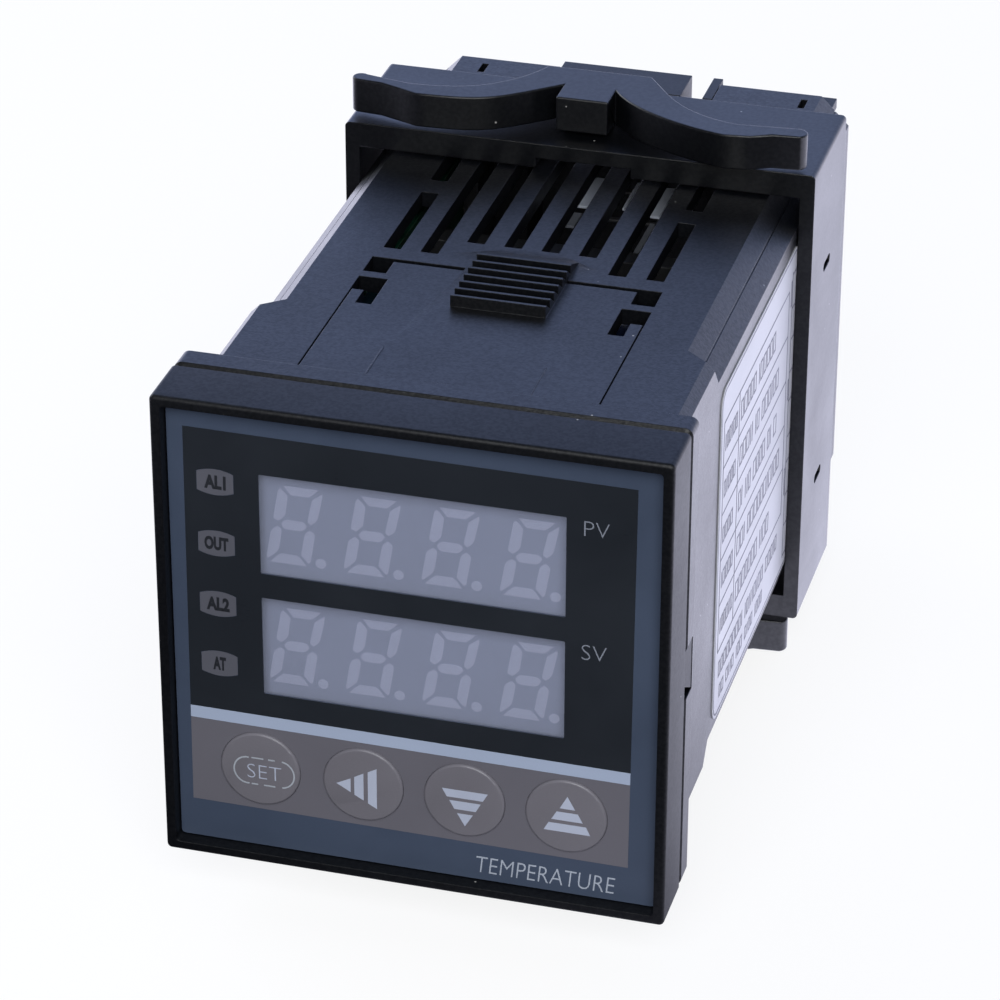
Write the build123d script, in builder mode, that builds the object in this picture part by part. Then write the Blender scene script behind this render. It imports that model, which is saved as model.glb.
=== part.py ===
from build123d import *
import math
import os

# Panel-mount process temperature controller, 1/16 DIN, with a slide-on
# mounting frame. Millimetres.
# X to the right seen from the front, Y from the front towards the rear,
# Z up. Origin: centre of the panel seating plane (rear face of the flange).
# Sides are +1 for right or top and -1 for left or bottom.

os.makedirs("parts", exist_ok=True)


def save(builder, name):
    builder.part.label = name
    export_step(builder.part, "parts/" + name + ".step")


def front(y):
    """Plane facing the front: local x is X, local y is Z. Negative extrudes run to the rear."""
    return Plane.XZ.offset(-y)


def layer(base, side, inner, outer):
    """Lower plane of the layer from inner to outer, on one side of the base plane."""
    return base.offset(inner if side > 0 else -outer)


def pair(x, y):
    """A point and its mirror image in x."""
    return (x, y), (-x, y)


# ------------------------------------------------------------------ shared sizes
flange_front = -2.75    # its rear face is the panel seat
side_window_z = -0.92   # windows in the flange's sides for the bezel tabs

body_w = 44.4           # fits the 45 mm panel cut-out
body_half = body_w / 2
body_len = 75.5
wall = 1.6
bore_w = body_w - 2 * wall
bore_chamfer = 2.0
ridge_x = 0.45          # ridge pads on the case, gripped by the frame's claws
ridge_w = 9.2
latch_x = (17.75, -16.3)

pocket_floor = -7.55    # front of the bezel's floor
key_x = (-14.87, -4.93, 4.75, 14.4)
key_names = ("set", "shift", "down", "up")
key_z = -14.38
key_centres = [(x, key_z) for x in key_x]
key_d = 7.7
pv_centre = (-0.15, 11.6)
sv_centre = (-0.15, -1.1)
display_mid = (pv_centre[0], (pv_centre[1] + sv_centre[1]) / 2)
led_x = -18.2
led_centres = [(led_x, z) for z in (15.3, 9.0, 2.65, -3.65)]
board_t = 1.6

terminal_front = 66.0
terminal_pitch = 6.5
terminal_x = 14.2
terminal_z = [terminal_pitch * (i - 2.5) for i in range(6)]
terminals = [point for z in terminal_z for point in pair(terminal_x, z)]
plate_front = 77.1      # floor of the screw compartments
plate_t = 0.8

# ------------------------------------------------------------------ case
flange_w = 48.0
flange_r = 0.8
flange_chamfer = 0.45
lead_chamfer = 0.9      # corners of the full section near the flange
sleeve_chamfer = 2.95   # corners of the sleeve behind the shoulder
shoulder_y0, shoulder_y1 = 14.0, 15.75
parting_w = 0.16
parting_reach = 0.07

ridge_count = 7
ridge_pitch = 1.52
ridge_y0 = 18.48        # steep face of the first ridge
ridge_end = 30.7
ridge_h = 1.15
ridge_valley = 0.28
ridge_crest = 0.32      # flat length of each crest
ridge_sink = 0.3        # overlap into the wall

vent_w = 1.75
vent_pitch = 3.695
vent_r = 0.15
# pitches from the middle, front y, rear y
vents = (
    (0.5, 32.15, 62.0), (1.5, 32.15, 62.0), (2.5, 28.9, 62.0),
    (3.5, 28.905, 41.955), (3.5, 44.85, 58.95),
)
# cross slot and stepped windows outlining the panel: x, y, x size, y size
panel_slots = (
    (9.6, 26.4, 9.2, 0.62), (13.05, 25.1, 2.3, 3.2),
    (12.78, 20.95, 2.85, 2.8), (12.12, 18.3, 1.55, 2.9),
)
panel_half = 14.2
groove_w = 0.18
groove_len = 19.6
rib_x = 7.7
rib_w, rib_len = 0.16, 8.8
cut_play = 0.5          # overrun of the wall cuts, inside and outside
wall_cut = wall + 2 * cut_play

with BuildPart() as case_housing:
    with BuildSketch(front(0)):
        Rectangle(body_w, body_w)
        chamfer(vertices(), lead_chamfer)
    extrude(amount=-body_len)
    # corners drop back to the slimmer sleeve behind a sloped shoulder
    lead_reach = (body_w - lead_chamfer) / math.sqrt(2)
    sleeve_reach = (body_w - sleeve_chamfer) / math.sqrt(2)
    slope = (shoulder_y1 - shoulder_y0) / (lead_reach - sleeve_reach)
    for side_x, side_z in ((1, 1), (-1, 1), (-1, -1), (1, -1)):
        # local x runs out along the diagonal, local y is Y
        corner = Plane(
            origin=(0, 0, 0), x_dir=(side_x, 0, side_z), z_dir=(-side_z, 0, side_x)
        )
        with BuildSketch(corner):
            with BuildLine():
                Polyline(
                    (sleeve_reach, shoulder_y1),
                    (sleeve_reach + 3.0, shoulder_y1 - 3.0 * slope),
                    (sleeve_reach + 6.0, shoulder_y1 - 3.0 * slope),
                    (sleeve_reach + 6.0, body_len + 1),
                    (sleeve_reach, body_len + 1),
                    close=True,
                )
            make_face()
        extrude(amount=8, both=True, mode=Mode.SUBTRACT)
        # parting line of the mould along the corner
        with BuildSketch(corner):
            with Locations((sleeve_reach, (shoulder_y1 + body_len) / 2 + 0.5)):
                Rectangle(parting_w, body_len - shoulder_y1 + 1.5)
        extrude(amount=parting_reach, both=True, mode=Mode.SUBTRACT)
    # flange
    with BuildSketch(front(flange_front)):
        RectangleRounded(flange_w, flange_w, flange_r)
    extrude(amount=flange_front)
    front_edges = edges().filter_by(lambda e: abs(e.center().Y - flange_front) < 1e-3)
    chamfer(front_edges, flange_chamfer)
    # side windows for the bezel tabs, blind towards the panel seat
    for side in (1, -1):
        with BuildSketch(front(flange_front)):
            with Locations((side * 23.4, side_window_z)):
                Rectangle(1.6, 5.5)
        extrude(amount=-2.5, mode=Mode.SUBTRACT)
    # bore for the chassis
    with BuildSketch(front(flange_front - 1)):
        Rectangle(bore_w, bore_w)
        chamfer(vertices(), bore_chamfer)
    extrude(amount=-(body_len + 5), mode=Mode.SUBTRACT)
    # ridge pads for the frame's claws, above and below
    for side in (1, -1):
        with BuildSketch(Plane.YZ.offset(ridge_x - ridge_w / 2)):
            with BuildLine():
                points = [(ridge_y0, side * (body_half - ridge_sink))]
                for i in range(ridge_count):
                    y = ridge_y0 + i * ridge_pitch
                    points.append((y, side * (body_half + (ridge_valley if i else 0.0))))
                    points.append((y, side * (body_half + ridge_h)))
                    points.append((y + ridge_crest, side * (body_half + ridge_h)))
                points.append((ridge_end, side * body_half))
                points.append((ridge_end, side * (body_half - ridge_sink)))
                Polyline(*points, close=True)
            make_face()
        extrude(amount=ridge_w)
    # details of the upper and lower walls
    for side in (1, -1):
        surface = Plane.XY.offset(side * body_half)
        cut_plane = layer(Plane.XY, side, body_half - wall - cut_play, body_half + cut_play)
        with BuildSketch(cut_plane):
            for pitches, y0, y1 in vents:
                with Locations(*pair(pitches * vent_pitch, (y0 + y1) / 2)):
                    RectangleRounded(vent_w, y1 - y0, vent_r)
            for x, y, size_x, size_y in panel_slots:
                with Locations(*pair(x, y)):
                    Rectangle(size_x, size_y)
        extrude(amount=wall_cut, mode=Mode.SUBTRACT)
        # witness grooves of the panel, and two low ribs behind the flange
        with BuildSketch(surface):
            with Locations(*pair(panel_half - groove_w / 2, groove_len / 2)):
                Rectangle(groove_w, groove_len)
        extrude(amount=0.35, both=True, mode=Mode.SUBTRACT)
        with BuildSketch(surface):
            with Locations(*pair(rib_x, rib_len / 2)):
                Rectangle(rib_w, rib_len)
        extrude(amount=0.06, both=True)
        # rear notch for the terminal block's spine, and its latch slits
        with BuildSketch(cut_plane):
            with Locations((0, body_len - 2.05)):
                Rectangle(17.2, 4.3)
            with Locations(*[(x, 73.0) for x in latch_x]):
                Rectangle(0.7, 2.2)
        extrude(amount=wall_cut, mode=Mode.SUBTRACT)
    # floor slot for the chassis stopper, below
    with BuildSketch(Plane.XY.offset(-body_half - cut_play)):
        with Locations((0, 10.2)):
            Rectangle(8.6, 2.8)
    extrude(amount=wall_cut, mode=Mode.SUBTRACT)
save(case_housing, "case_housing")

# ------------------------------------------------------------------ label
label_y0, label_y1 = 17.05, 51.15
label_z0, label_z1 = -18.46, 17.4

with BuildPart() as rating_label:
    with BuildSketch(Plane.YZ.offset(body_half)):
        with Locations(((label_y0 + label_y1) / 2, (label_z0 + label_z1) / 2)):
            RectangleRounded(label_y1 - label_y0, label_z1 - label_z0, 1.8)
    extrude(amount=0.12)
save(rating_label, "rating_label")

# ------------------------------------------------------------------ terminal block
tower_w, tower_h = 11.6, 40.2
tower_depth = 4.6
spine_front = 71.6
spine_depth = 5.45
compartment_w, compartment_h = 11.0, 5.5
compartment_shift = 0.9     # outwards from the screw axis

with BuildPart() as terminal_block:
    with BuildSketch(front(terminal_front)):
        Rectangle(bore_w - 0.1, bore_w - 0.1)
        chamfer(vertices(), bore_chamfer)
    extrude(amount=-(body_len - terminal_front))
    # screw towers behind the case, left and right
    with BuildSketch(front(body_len)):
        with Locations(*pair(terminal_x, 0)):
            Rectangle(tower_w, tower_h)
    extrude(amount=-tower_depth)
    # spine and narrow rib, flush with the case above and below
    with BuildSketch(front(spine_front)):
        with Locations((-1.65, 0)):
            Rectangle(13.7, body_w)
        with Locations((8.0, 0)):
            Rectangle(1.0, body_w)
    extrude(amount=-spine_depth)
    # grooves between the spine and the rib
    with BuildSketch(front(spine_front)):
        with Locations((6.35, 19.4), (6.35, -19.4)):
            Rectangle(2.3, 6.6)
    extrude(amount=-9, mode=Mode.SUBTRACT)
    # screw compartments open to the rear and to the outer side
    with BuildSketch(front(plate_front)):
        for z in terminal_z:
            with Locations(*pair(terminal_x + compartment_shift, z)):
                Rectangle(compartment_w, compartment_h)
    extrude(amount=-4, mode=Mode.SUBTRACT)
    # screw holes, cut forwards from behind the towers
    with BuildSketch(front(80.2)):
        with Locations(*terminals):
            Circle(1.6)
    extrude(amount=10.2, mode=Mode.SUBTRACT)
    # hollow open to the front
    with BuildSketch(front(terminal_front)):
        Rectangle(19.0, 34.0)
    extrude(amount=-6.0, mode=Mode.SUBTRACT)
    # latch bumps in line with the case slits
    with BuildSketch(front(72.1)):
        with Locations(*[(x, z) for x in latch_x for z in (20.9, -20.9)]):
            Rectangle(0.5, 1.0)
    extrude(amount=-1.8)
save(terminal_block, "terminal_block")

with BuildPart() as terminal_plates:
    with BuildSketch(front(plate_front)):
        with Locations(*terminals):
            Rectangle(8.0, 5.2)
            Circle(1.7, mode=Mode.SUBTRACT)
    extrude(amount=-plate_t)
save(terminal_plates, "terminal_plates")

# ------------------------------------------------------------------ terminal screws
head_r = 2.6
head_h = 1.7
head_fillet = 0.6
shank_r = 1.45
shank_front, shank_len = 71.0, 6.95
cross_len, cross_w = 3.2, 0.6

with BuildPart() as terminal_screws:
    with BuildSketch(front(plate_front + plate_t)):
        with Locations(*terminals):
            Circle(head_r)
    extrude(amount=-head_h)
    fillet(edges().filter_by(GeomType.CIRCLE).group_by(Axis.Y)[-1], head_fillet)
    with BuildSketch(front(shank_front)):
        with Locations(*terminals):
            Circle(shank_r)
    extrude(amount=-shank_len)
    # cross recesses
    with BuildSketch(front(78.7)):
        with Locations(*terminals):
            Rectangle(cross_len, cross_w)
            Rectangle(cross_w, cross_len)
    extrude(amount=-1.5, mode=Mode.SUBTRACT)
save(terminal_screws, "terminal_screws")

# ------------------------------------------------------------------ board connectors
socket_front = 59.5
blade_len, blade_h, blade_t = 6.4, 1.2, 0.3
blade_inner = 16.5
blade_y = 62.8
blade_spread = 0.86     # blade pitch as a share of the terminal pitch

with BuildPart() as edge_sockets:
    with BuildSketch(front(socket_front)):
        with Locations(*pair(15.7, 0)):
            Rectangle(5.4, 34.0)
        with Locations(*pair(15.83, 0)):
            Rectangle(2.4, 31.4, mode=Mode.SUBTRACT)
    extrude(amount=-(terminal_front - socket_front))
save(edge_sockets, "edge_sockets")

with BuildPart() as contact_blades:
    for side in (1, -1):
        with BuildSketch(layer(Plane.YZ, side, blade_inner, blade_inner + blade_t)):
            with Locations(*[(blade_y, z * blade_spread) for z in terminal_z]):
                Rectangle(blade_len, blade_h)
        extrude(amount=blade_t)
save(contact_blades, "contact_blades")

# ------------------------------------------------------------------ clamping frame
frame_y0 = 49.9         # as pushed on from the rear
frame_depth = 15.2
frame_x = -0.15         # play on the case, taken up to the left
frame_w = 48.0
frame_h = 50.1
frame_bore = 45.0
channel_h = 47.0
claw_x = -0.42
opening_depth = 3.2
opening_play = 0.2

with BuildPart() as mounting_frame:
    with BuildSketch(front(frame_y0)):
        with Locations((frame_x, 0)):
            RectangleRounded(frame_w, frame_h, 0.5)
            Rectangle(frame_bore, frame_bore, mode=Mode.SUBTRACT)
    extrude(amount=-frame_depth)
    # openings for the claws, open to the rear
    for side in (1, -1):
        opening_plane = layer(
            Plane.XY, side, frame_h / 2 - opening_depth, frame_h / 2 + opening_play
        )
        with BuildSketch(opening_plane):
            with Locations((claw_x, 62.5)):
                Rectangle(6.6, 11.0)
        extrude(amount=opening_depth + opening_play, mode=Mode.SUBTRACT)
    # channels in the bore that clear the case's ridge pads
    with BuildSketch(front(frame_y0)):
        with Locations((ridge_x, 0)):
            Rectangle(ridge_w + 0.5, channel_h)
    extrude(amount=-frame_depth, mode=Mode.SUBTRACT)
    # small slots through both side walls
    for z in (12.1, -12.1):
        with BuildSketch(Plane.YZ.offset(-30)):
            with Locations((57.75, z)):
                SlotOverall(3.2, 1.0)
        extrude(amount=60, mode=Mode.SUBTRACT)
save(mounting_frame, "mounting_frame")

# ------------------------------------------------------------------ claws
arm_inner, arm_outer = 25.55, 29.15     # distances from the axis in z
claw_half = 2.65
root_front, root_neck, root_rear = 52.5, 55.75, 59.97
root_half = 5.35        # at the rear
tongue_half = 1.0

# Spring arm outlines from the root out to the tip and back:
# x outwards from the claw's centre line, y
arm_right = dict(
    front=[(claw_half, root_neck), (5.0, 53.0), (8.0, 50.9), (11.75, 49.15), (15.3, 48.15)],
    pad=[(17.9, 48.45), (19.9, 49.45), (22.6, 49.65)],
    tip=[(23.2, 50.7), (22.0, 51.65)],
    rear=[(16.3, 51.1), (12.75, 52.13), (9.9, 54.03), (7.05, 57.5), (root_half, root_rear)],
)
arm_left = dict(
    front=[(claw_half, root_neck), (6.0, 52.75), (9.65, 50.35), (13.7, 49.62), (16.3, 49.53)],
    pad=[(17.7, 50.1), (20.3, 51.1), (22.75, 51.35)],
    tip=[(23.55, 52.2), (22.2, 52.9)],
    rear=[(17.8, 51.95), (14.5, 52.17), (10.55, 53.5), (8.4, 55.19), (root_half, root_rear)],
)
# side outline of the post, flex web and toothed lever: y, distance from the axis in z
lever_outline = (
    (root_front, 25.55), (55.6, 25.45), (55.6, 25.1), (56.4, 25.1), (57.2, 25.5),
    (62.9, 24.9), (64.6, 23.45), (65.5, 23.45), (65.5, 26.3), (59.6, 27.3),
    (57.5, 27.3), (root_front, 27.3),
)

for claw_name, side_z in (("top_claw", 1), ("bottom_claw", -1)):
    with BuildPart() as claw:
        with BuildSketch(layer(Plane.XY, side_z, arm_inner, arm_outer)):
            # root plate
            with BuildLine():
                Polyline(
                    (claw_x - claw_half, root_front), (claw_x + claw_half, root_front),
                    (claw_x + claw_half, root_neck), (claw_x + root_half, root_rear),
                    (claw_x - root_half, root_rear), (claw_x - claw_half, root_neck),
                    close=True,
                )
            make_face()
            # two curved spring arms
            for side, arm in ((1, arm_right), (-1, arm_left)):
                front_points, pad, tip, rear_points = (
                    [(claw_x + side * x, y) for x, y in arm[key]]
                    for key in ("front", "pad", "tip", "rear")
                )
                with BuildLine():
                    Spline(*front_points)
                    Polyline(front_points[-1], *pad)
                    ThreePointArc(pad[-1], tip[0], tip[1])
                    Line(tip[1], rear_points[0])
                    Spline(*rear_points)
                    Polyline(
                        rear_points[-1], (claw_x + side * tongue_half, root_rear),
                        (claw_x + side * tongue_half, root_neck), front_points[0],
                    )
                make_face()
        extrude(amount=arm_outer - arm_inner)
        with BuildSketch(Plane.YZ.offset(claw_x - claw_half)):
            with BuildLine():
                Polyline(*[(y, side_z * z) for y, z in lever_outline], close=True)
            make_face()
        extrude(amount=2 * claw_half)
    save(claw, claw_name)

# ------------------------------------------------------------------ bezel
bezel_w = 48.0          # 1/16 DIN bezel
bezel_front = -9.25
bezel_rear = -3.05      # rear of the visible bezel
seat_w = 46.6
pocket_w = 46.0         # recess that holds the front film
floor_t = 1.5
skirt_w = 40.8          # skirt that enters the case
skirt_chamfer = 2.0
skirt_wall = 1.2
skirt_rear = 6.0
cavity_w = skirt_w - 2 * skirt_wall
tab_inner, tab_outer = 22.7, 23.95
tab_front = bezel_rear - 0.2
tab_rear = -0.35

with BuildPart() as front_bezel:
    with BuildSketch(front(bezel_front)):
        RectangleRounded(bezel_w, bezel_w, 0.5)
    extrude(amount=-(bezel_rear - bezel_front))
    fillet(edges().group_by(Axis.Y)[0], 0.4)
    fillet(edges().group_by(Axis.Y)[-1], 0.12)
    # seat step against the flange, leaving a shadow gap around it
    with BuildSketch(front(bezel_rear)):
        RectangleRounded(seat_w, seat_w, 0.4)
    extrude(amount=-(flange_front - bezel_rear))
    # skirt inside the case
    with BuildSketch(front(flange_front)):
        Rectangle(skirt_w, skirt_w)
        chamfer(vertices(), skirt_chamfer)
    extrude(amount=-(skirt_rear - flange_front))
    # pocket for the film
    with BuildSketch(front(bezel_front)):
        RectangleRounded(pocket_w, pocket_w, 0.4)
    extrude(amount=-(pocket_floor - bezel_front), mode=Mode.SUBTRACT)
    # cavity behind the floor
    with BuildSketch(front(pocket_floor + floor_t)):
        Rectangle(cavity_w, cavity_w)
        chamfer(vertices(), skirt_chamfer - 0.5)
    extrude(amount=-14, mode=Mode.SUBTRACT)
    # rebate for the display filter
    with BuildSketch(front(pocket_floor)):
        with Locations(display_mid):
            Rectangle(32.4, 26.7)
    extrude(amount=-1.0, mode=Mode.SUBTRACT)
    # openings through the floor for the displays, indicators and keys
    with BuildSketch(front(pocket_floor)):
        with Locations(display_mid):
            Rectangle(30.7, 25.5)
        with Locations(*led_centres):
            Rectangle(2.2, 2.2)
        with Locations(*key_centres):
            Circle(2.4)
    extrude(amount=-3, mode=Mode.SUBTRACT)
    # shallow recesses around the key holes
    with BuildSketch(front(pocket_floor)):
        with Locations(*key_centres):
            Circle(4.1)
    extrude(amount=-0.55, mode=Mode.SUBTRACT)
    # side tabs that seat in the flange windows
    for side in (1, -1):
        with BuildSketch(layer(Plane.YZ, side, tab_inner, tab_outer)):
            with BuildLine():
                Polyline(
                    (tab_front, side_window_z + 2.62), (tab_rear, side_window_z + 2.62),
                    (tab_rear, side_window_z - 2.63), (-2.9, side_window_z - 1.13),
                    (tab_front, side_window_z - 1.13), close=True,
                )
            make_face()
        extrude(amount=tab_outer - tab_inner)
    # window in the skirt's lower wall for the stopper
    with BuildSketch(Plane.XY.offset(-skirt_w / 2 - 0.5)):
        with Locations((0, 2.4)):
            Rectangle(9.0, 8.4)
    extrude(amount=skirt_wall + 1.0, mode=Mode.SUBTRACT)
save(front_bezel, "front_bezel")

# ------------------------------------------------------------------ chassis stopper
stopper_w = 7.8
# side outline: y, z
stopper_outline = (
    (-1.7, -19.35), (-1.7, -19.8), (9.1, -19.8), (9.2, -20.5), (11.2, -20.5), (11.2, -19.35),
)

with BuildPart() as chassis_stopper:
    with BuildSketch(Plane.YZ.offset(-stopper_w / 2)):
        with BuildLine():
            Polyline(*stopper_outline, close=True)
        make_face()
    extrude(amount=stopper_w)
save(chassis_stopper, "chassis_stopper")

# ------------------------------------------------------------------ film and filter
film_w = 45.8
film_t = 0.3
window_w, window_h = 28.6, 10.35
key_gap = 0.06

with BuildPart() as front_film:
    with BuildSketch(front(pocket_floor - film_t)):
        RectangleRounded(film_w, film_w, 0.4)
        with Locations(pv_centre, sv_centre):
            Rectangle(window_w, window_h, mode=Mode.SUBTRACT)
        with Locations(*key_centres):
            Circle(key_d / 2 + key_gap, mode=Mode.SUBTRACT)
    extrude(amount=-film_t)
save(front_film, "front_film")

with BuildPart() as display_filter:
    with BuildSketch(front(pocket_floor)):
        with Locations(display_mid):
            Rectangle(32.2, 26.5)
    extrude(amount=-0.95)
save(display_filter, "display_filter")

# ------------------------------------------------------------------ keys
key_front = -8.17
key_t = 0.5
plunger_r = 1.7
plunger_len = 4.4

for centre, name in zip(key_centres, key_names):
    with BuildPart() as key_cap:
        with BuildSketch(front(key_front)):
            with Locations(centre):
                Circle(key_d / 2)
        extrude(amount=-key_t)
        fillet(edges().group_by(Axis.Y)[0], 0.25)
    save(key_cap, "key_" + name)
    with BuildPart() as plunger:
        with BuildSketch(front(key_front + key_t)):
            with Locations(centre):
                Circle(plunger_r)
        extrude(amount=-plunger_len)
    save(plunger, "plunger_" + name)

# ------------------------------------------------------------------ display board
board_front = 0.3
switch_front = -3.6
switch_w = 6.0
display_front = -6.55
led_front = -6.9
led_w = 1.9

with BuildPart() as key_switches:
    with BuildSketch(front(switch_front)):
        with Locations(*key_centres):
            Rectangle(switch_w, switch_w)
    extrude(amount=-(board_front - switch_front))
    # recesses for the plungers
    with BuildSketch(front(switch_front)):
        with Locations(*key_centres):
            Circle(1.85)
    extrude(amount=-1.0, mode=Mode.SUBTRACT)
save(key_switches, "key_switches")

for display_name, centre in (("pv_display", pv_centre), ("sv_display", sv_centre)):
    with BuildPart() as display:
        with BuildSketch(front(display_front)):
            with Locations(centre):
                Rectangle(30.2, 12.5)
        extrude(amount=-(board_front - display_front))
        chamfer(edges().group_by(Axis.Y)[0], 0.25)
    save(display, display_name)

with BuildPart() as indicator_leds:
    with BuildSketch(front(led_front)):
        with Locations(*led_centres):
            Rectangle(led_w, led_w)
    extrude(amount=-(board_front - led_front))
save(indicator_leds, "indicator_leds")

with BuildPart() as display_board:
    with BuildSketch(front(board_front)):
        Rectangle(38.0, 38.0)
        chamfer(vertices(), 1.5)
        with Locations(*pair(15.6, 17.2), *pair(15.6, -17.2)):
            Circle(0.8, mode=Mode.SUBTRACT)
    extrude(amount=-board_t)
save(display_board, "display_board")

with BuildPart() as board_headers:
    with BuildSketch(front(board_front + board_t)):
        with Locations(*pair(13.55, 4)):
            Rectangle(2.5, 20.3)
    extrude(amount=-2.5)
save(board_headers, "board_headers")

# ------------------------------------------------------------------ side boards
board_inner = 14.8      # x of the faces that carry the parts
# outline: y, z
side_board_outline = (
    (2.0, -16.5), (2.0, 16.5), (4.5, 18.3), (58.5, 18.3), (58.5, 15.5), (65.2, 15.5),
    (65.2, -15.5), (58.5, -15.5), (58.5, -18.3), (4.5, -18.3),
)

for board_name, side in (("main_board", -1), ("power_board", 1)):
    with BuildPart() as board:
        with BuildSketch(layer(Plane.YZ, side, board_inner, board_inner + board_t)):
            with BuildLine():
                Polyline(*side_board_outline, close=True)
            make_face()
        extrude(amount=board_t)
    save(board, board_name)

# rectangular ring between the boards
with BuildPart() as chassis_brace:
    with BuildSketch(front(41.2)):
        with Locations((0, 16.4), (0, -16.4)):
            Rectangle(29.6, 2.4)
        with Locations(*pair(13.95, 0)):
            Rectangle(1.7, 34.0)
    extrude(amount=-2.4)
save(chassis_brace, "chassis_brace")

# ------------------------------------------------------------------ transformer
transformer_y = 24.0
core_x = 3.0            # left face of the core
core_t = 5.0
coil_h = 10.0

with BuildPart() as transformer_core:
    with BuildSketch(Plane.YZ.offset(core_x)):
        with Locations((transformer_y, 0)):
            Rectangle(17.0, 16.0)
            Rectangle(11.4, 10.4, mode=Mode.SUBTRACT)
    extrude(amount=core_t)
    # centre leg
    with BuildSketch(Plane.YZ.offset(core_x)):
        with Locations((transformer_y, 0)):
            Rectangle(4.6, 12.0)
    extrude(amount=core_t)
save(transformer_core, "transformer_core")

with BuildPart() as transformer_coil:
    with BuildSketch(Plane.XY.offset(-coil_h / 2)):
        with Locations((core_x + core_t / 2, transformer_y)):
            RectangleRounded(11.2, 10.8, 1.2)
            Rectangle(5.2, 4.8, mode=Mode.SUBTRACT)
    extrude(amount=coil_h)
save(transformer_coil, "transformer_coil")

# ------------------------------------------------------------------ parts on the side boards
# y, z, radius, height above the board
capacitors = ((49.7, 5.6, 5.0, 12.0), (49.7, -6.6, 4.0, 11.0), (11.0, 9.5, 3.15, 9.0))

with BuildPart() as filter_capacitors:
    for y, z, radius, height in capacitors:
        with BuildSketch(Plane.YZ.offset(board_inner - height)):
            with Locations((y, z)):
                Circle(radius)
        extrude(amount=height)
    # round the ends away from the board
    fillet(edges().filter_by(GeomType.CIRCLE).filter_by(lambda e: e.center().X < 14.0), 0.4)
save(filter_capacitors, "filter_capacitors")

# name, side, height above the board, y size, z size, corner radius, centres (y, z)
board_blocks = (
    ("transformer_base", 1, 3.7, 16.0, 17.0, 0, [(transformer_y, 0)]),
    ("rectifier", 1, 2.6, 8.4, 6.4, 0, [(11.0, -8.5)]),
    ("output_relays", -1, 12.5, 20.0, 10.2, 0.5, [(28.0, 8.6), (28.0, -8.6)]),
    ("control_ic", -1, 1.6, 10.0, 10.0, 0, [(11.0, 2.0)]),
    ("optocouplers", -1, 3.6, 6.4, 4.6, 0, [(50.5, z) for z in (10.5, 3.5, -3.5, -10.5)]),
)

for name, side, height, size_y, size_z, corner_r, centres in board_blocks:
    with BuildPart() as block:
        with BuildSketch(layer(Plane.YZ, side, board_inner - height, board_inner)):
            with Locations(*centres):
                Rectangle(size_y, size_z)
        extrude(amount=height)
        if corner_r:
            fillet(edges().filter_by(Axis.X), corner_r)
    save(block, name)
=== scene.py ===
# Panel-mounted temperature controller: a deep black case with a film front (two four-digit
# displays, four lamps, four round keys), rear screw terminals and two upright boards inside.
# The front faces -Y, the terminals face +Y, +Z is up and X = 0 lies between the boards.
# Positions of details are in mm in that frame; meshes are scaled to metres when placed.
import math
import random

import bmesh
import bpy
from mathutils import Matrix, Vector


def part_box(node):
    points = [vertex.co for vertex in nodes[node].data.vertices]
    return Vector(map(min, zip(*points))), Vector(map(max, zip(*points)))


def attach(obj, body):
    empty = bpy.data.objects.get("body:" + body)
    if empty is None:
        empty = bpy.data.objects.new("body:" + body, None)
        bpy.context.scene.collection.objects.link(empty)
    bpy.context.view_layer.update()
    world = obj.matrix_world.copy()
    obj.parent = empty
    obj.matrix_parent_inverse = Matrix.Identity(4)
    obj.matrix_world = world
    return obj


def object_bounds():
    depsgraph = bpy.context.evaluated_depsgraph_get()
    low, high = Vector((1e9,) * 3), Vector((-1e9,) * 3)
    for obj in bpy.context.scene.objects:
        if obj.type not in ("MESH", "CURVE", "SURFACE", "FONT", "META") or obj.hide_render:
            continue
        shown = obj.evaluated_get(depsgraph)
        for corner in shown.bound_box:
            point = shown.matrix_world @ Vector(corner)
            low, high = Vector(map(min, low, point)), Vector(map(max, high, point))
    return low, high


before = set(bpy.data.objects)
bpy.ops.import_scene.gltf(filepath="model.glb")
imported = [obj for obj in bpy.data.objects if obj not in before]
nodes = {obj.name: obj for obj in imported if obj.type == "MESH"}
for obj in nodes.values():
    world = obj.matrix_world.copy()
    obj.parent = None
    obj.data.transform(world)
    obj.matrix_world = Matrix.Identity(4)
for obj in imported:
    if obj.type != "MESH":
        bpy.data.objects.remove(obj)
cad_lo, cad_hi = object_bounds()
MM = 0.001
MIDDLE = (0.3, 0.7)            # the part of a noise's range where most of its values lie


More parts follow.
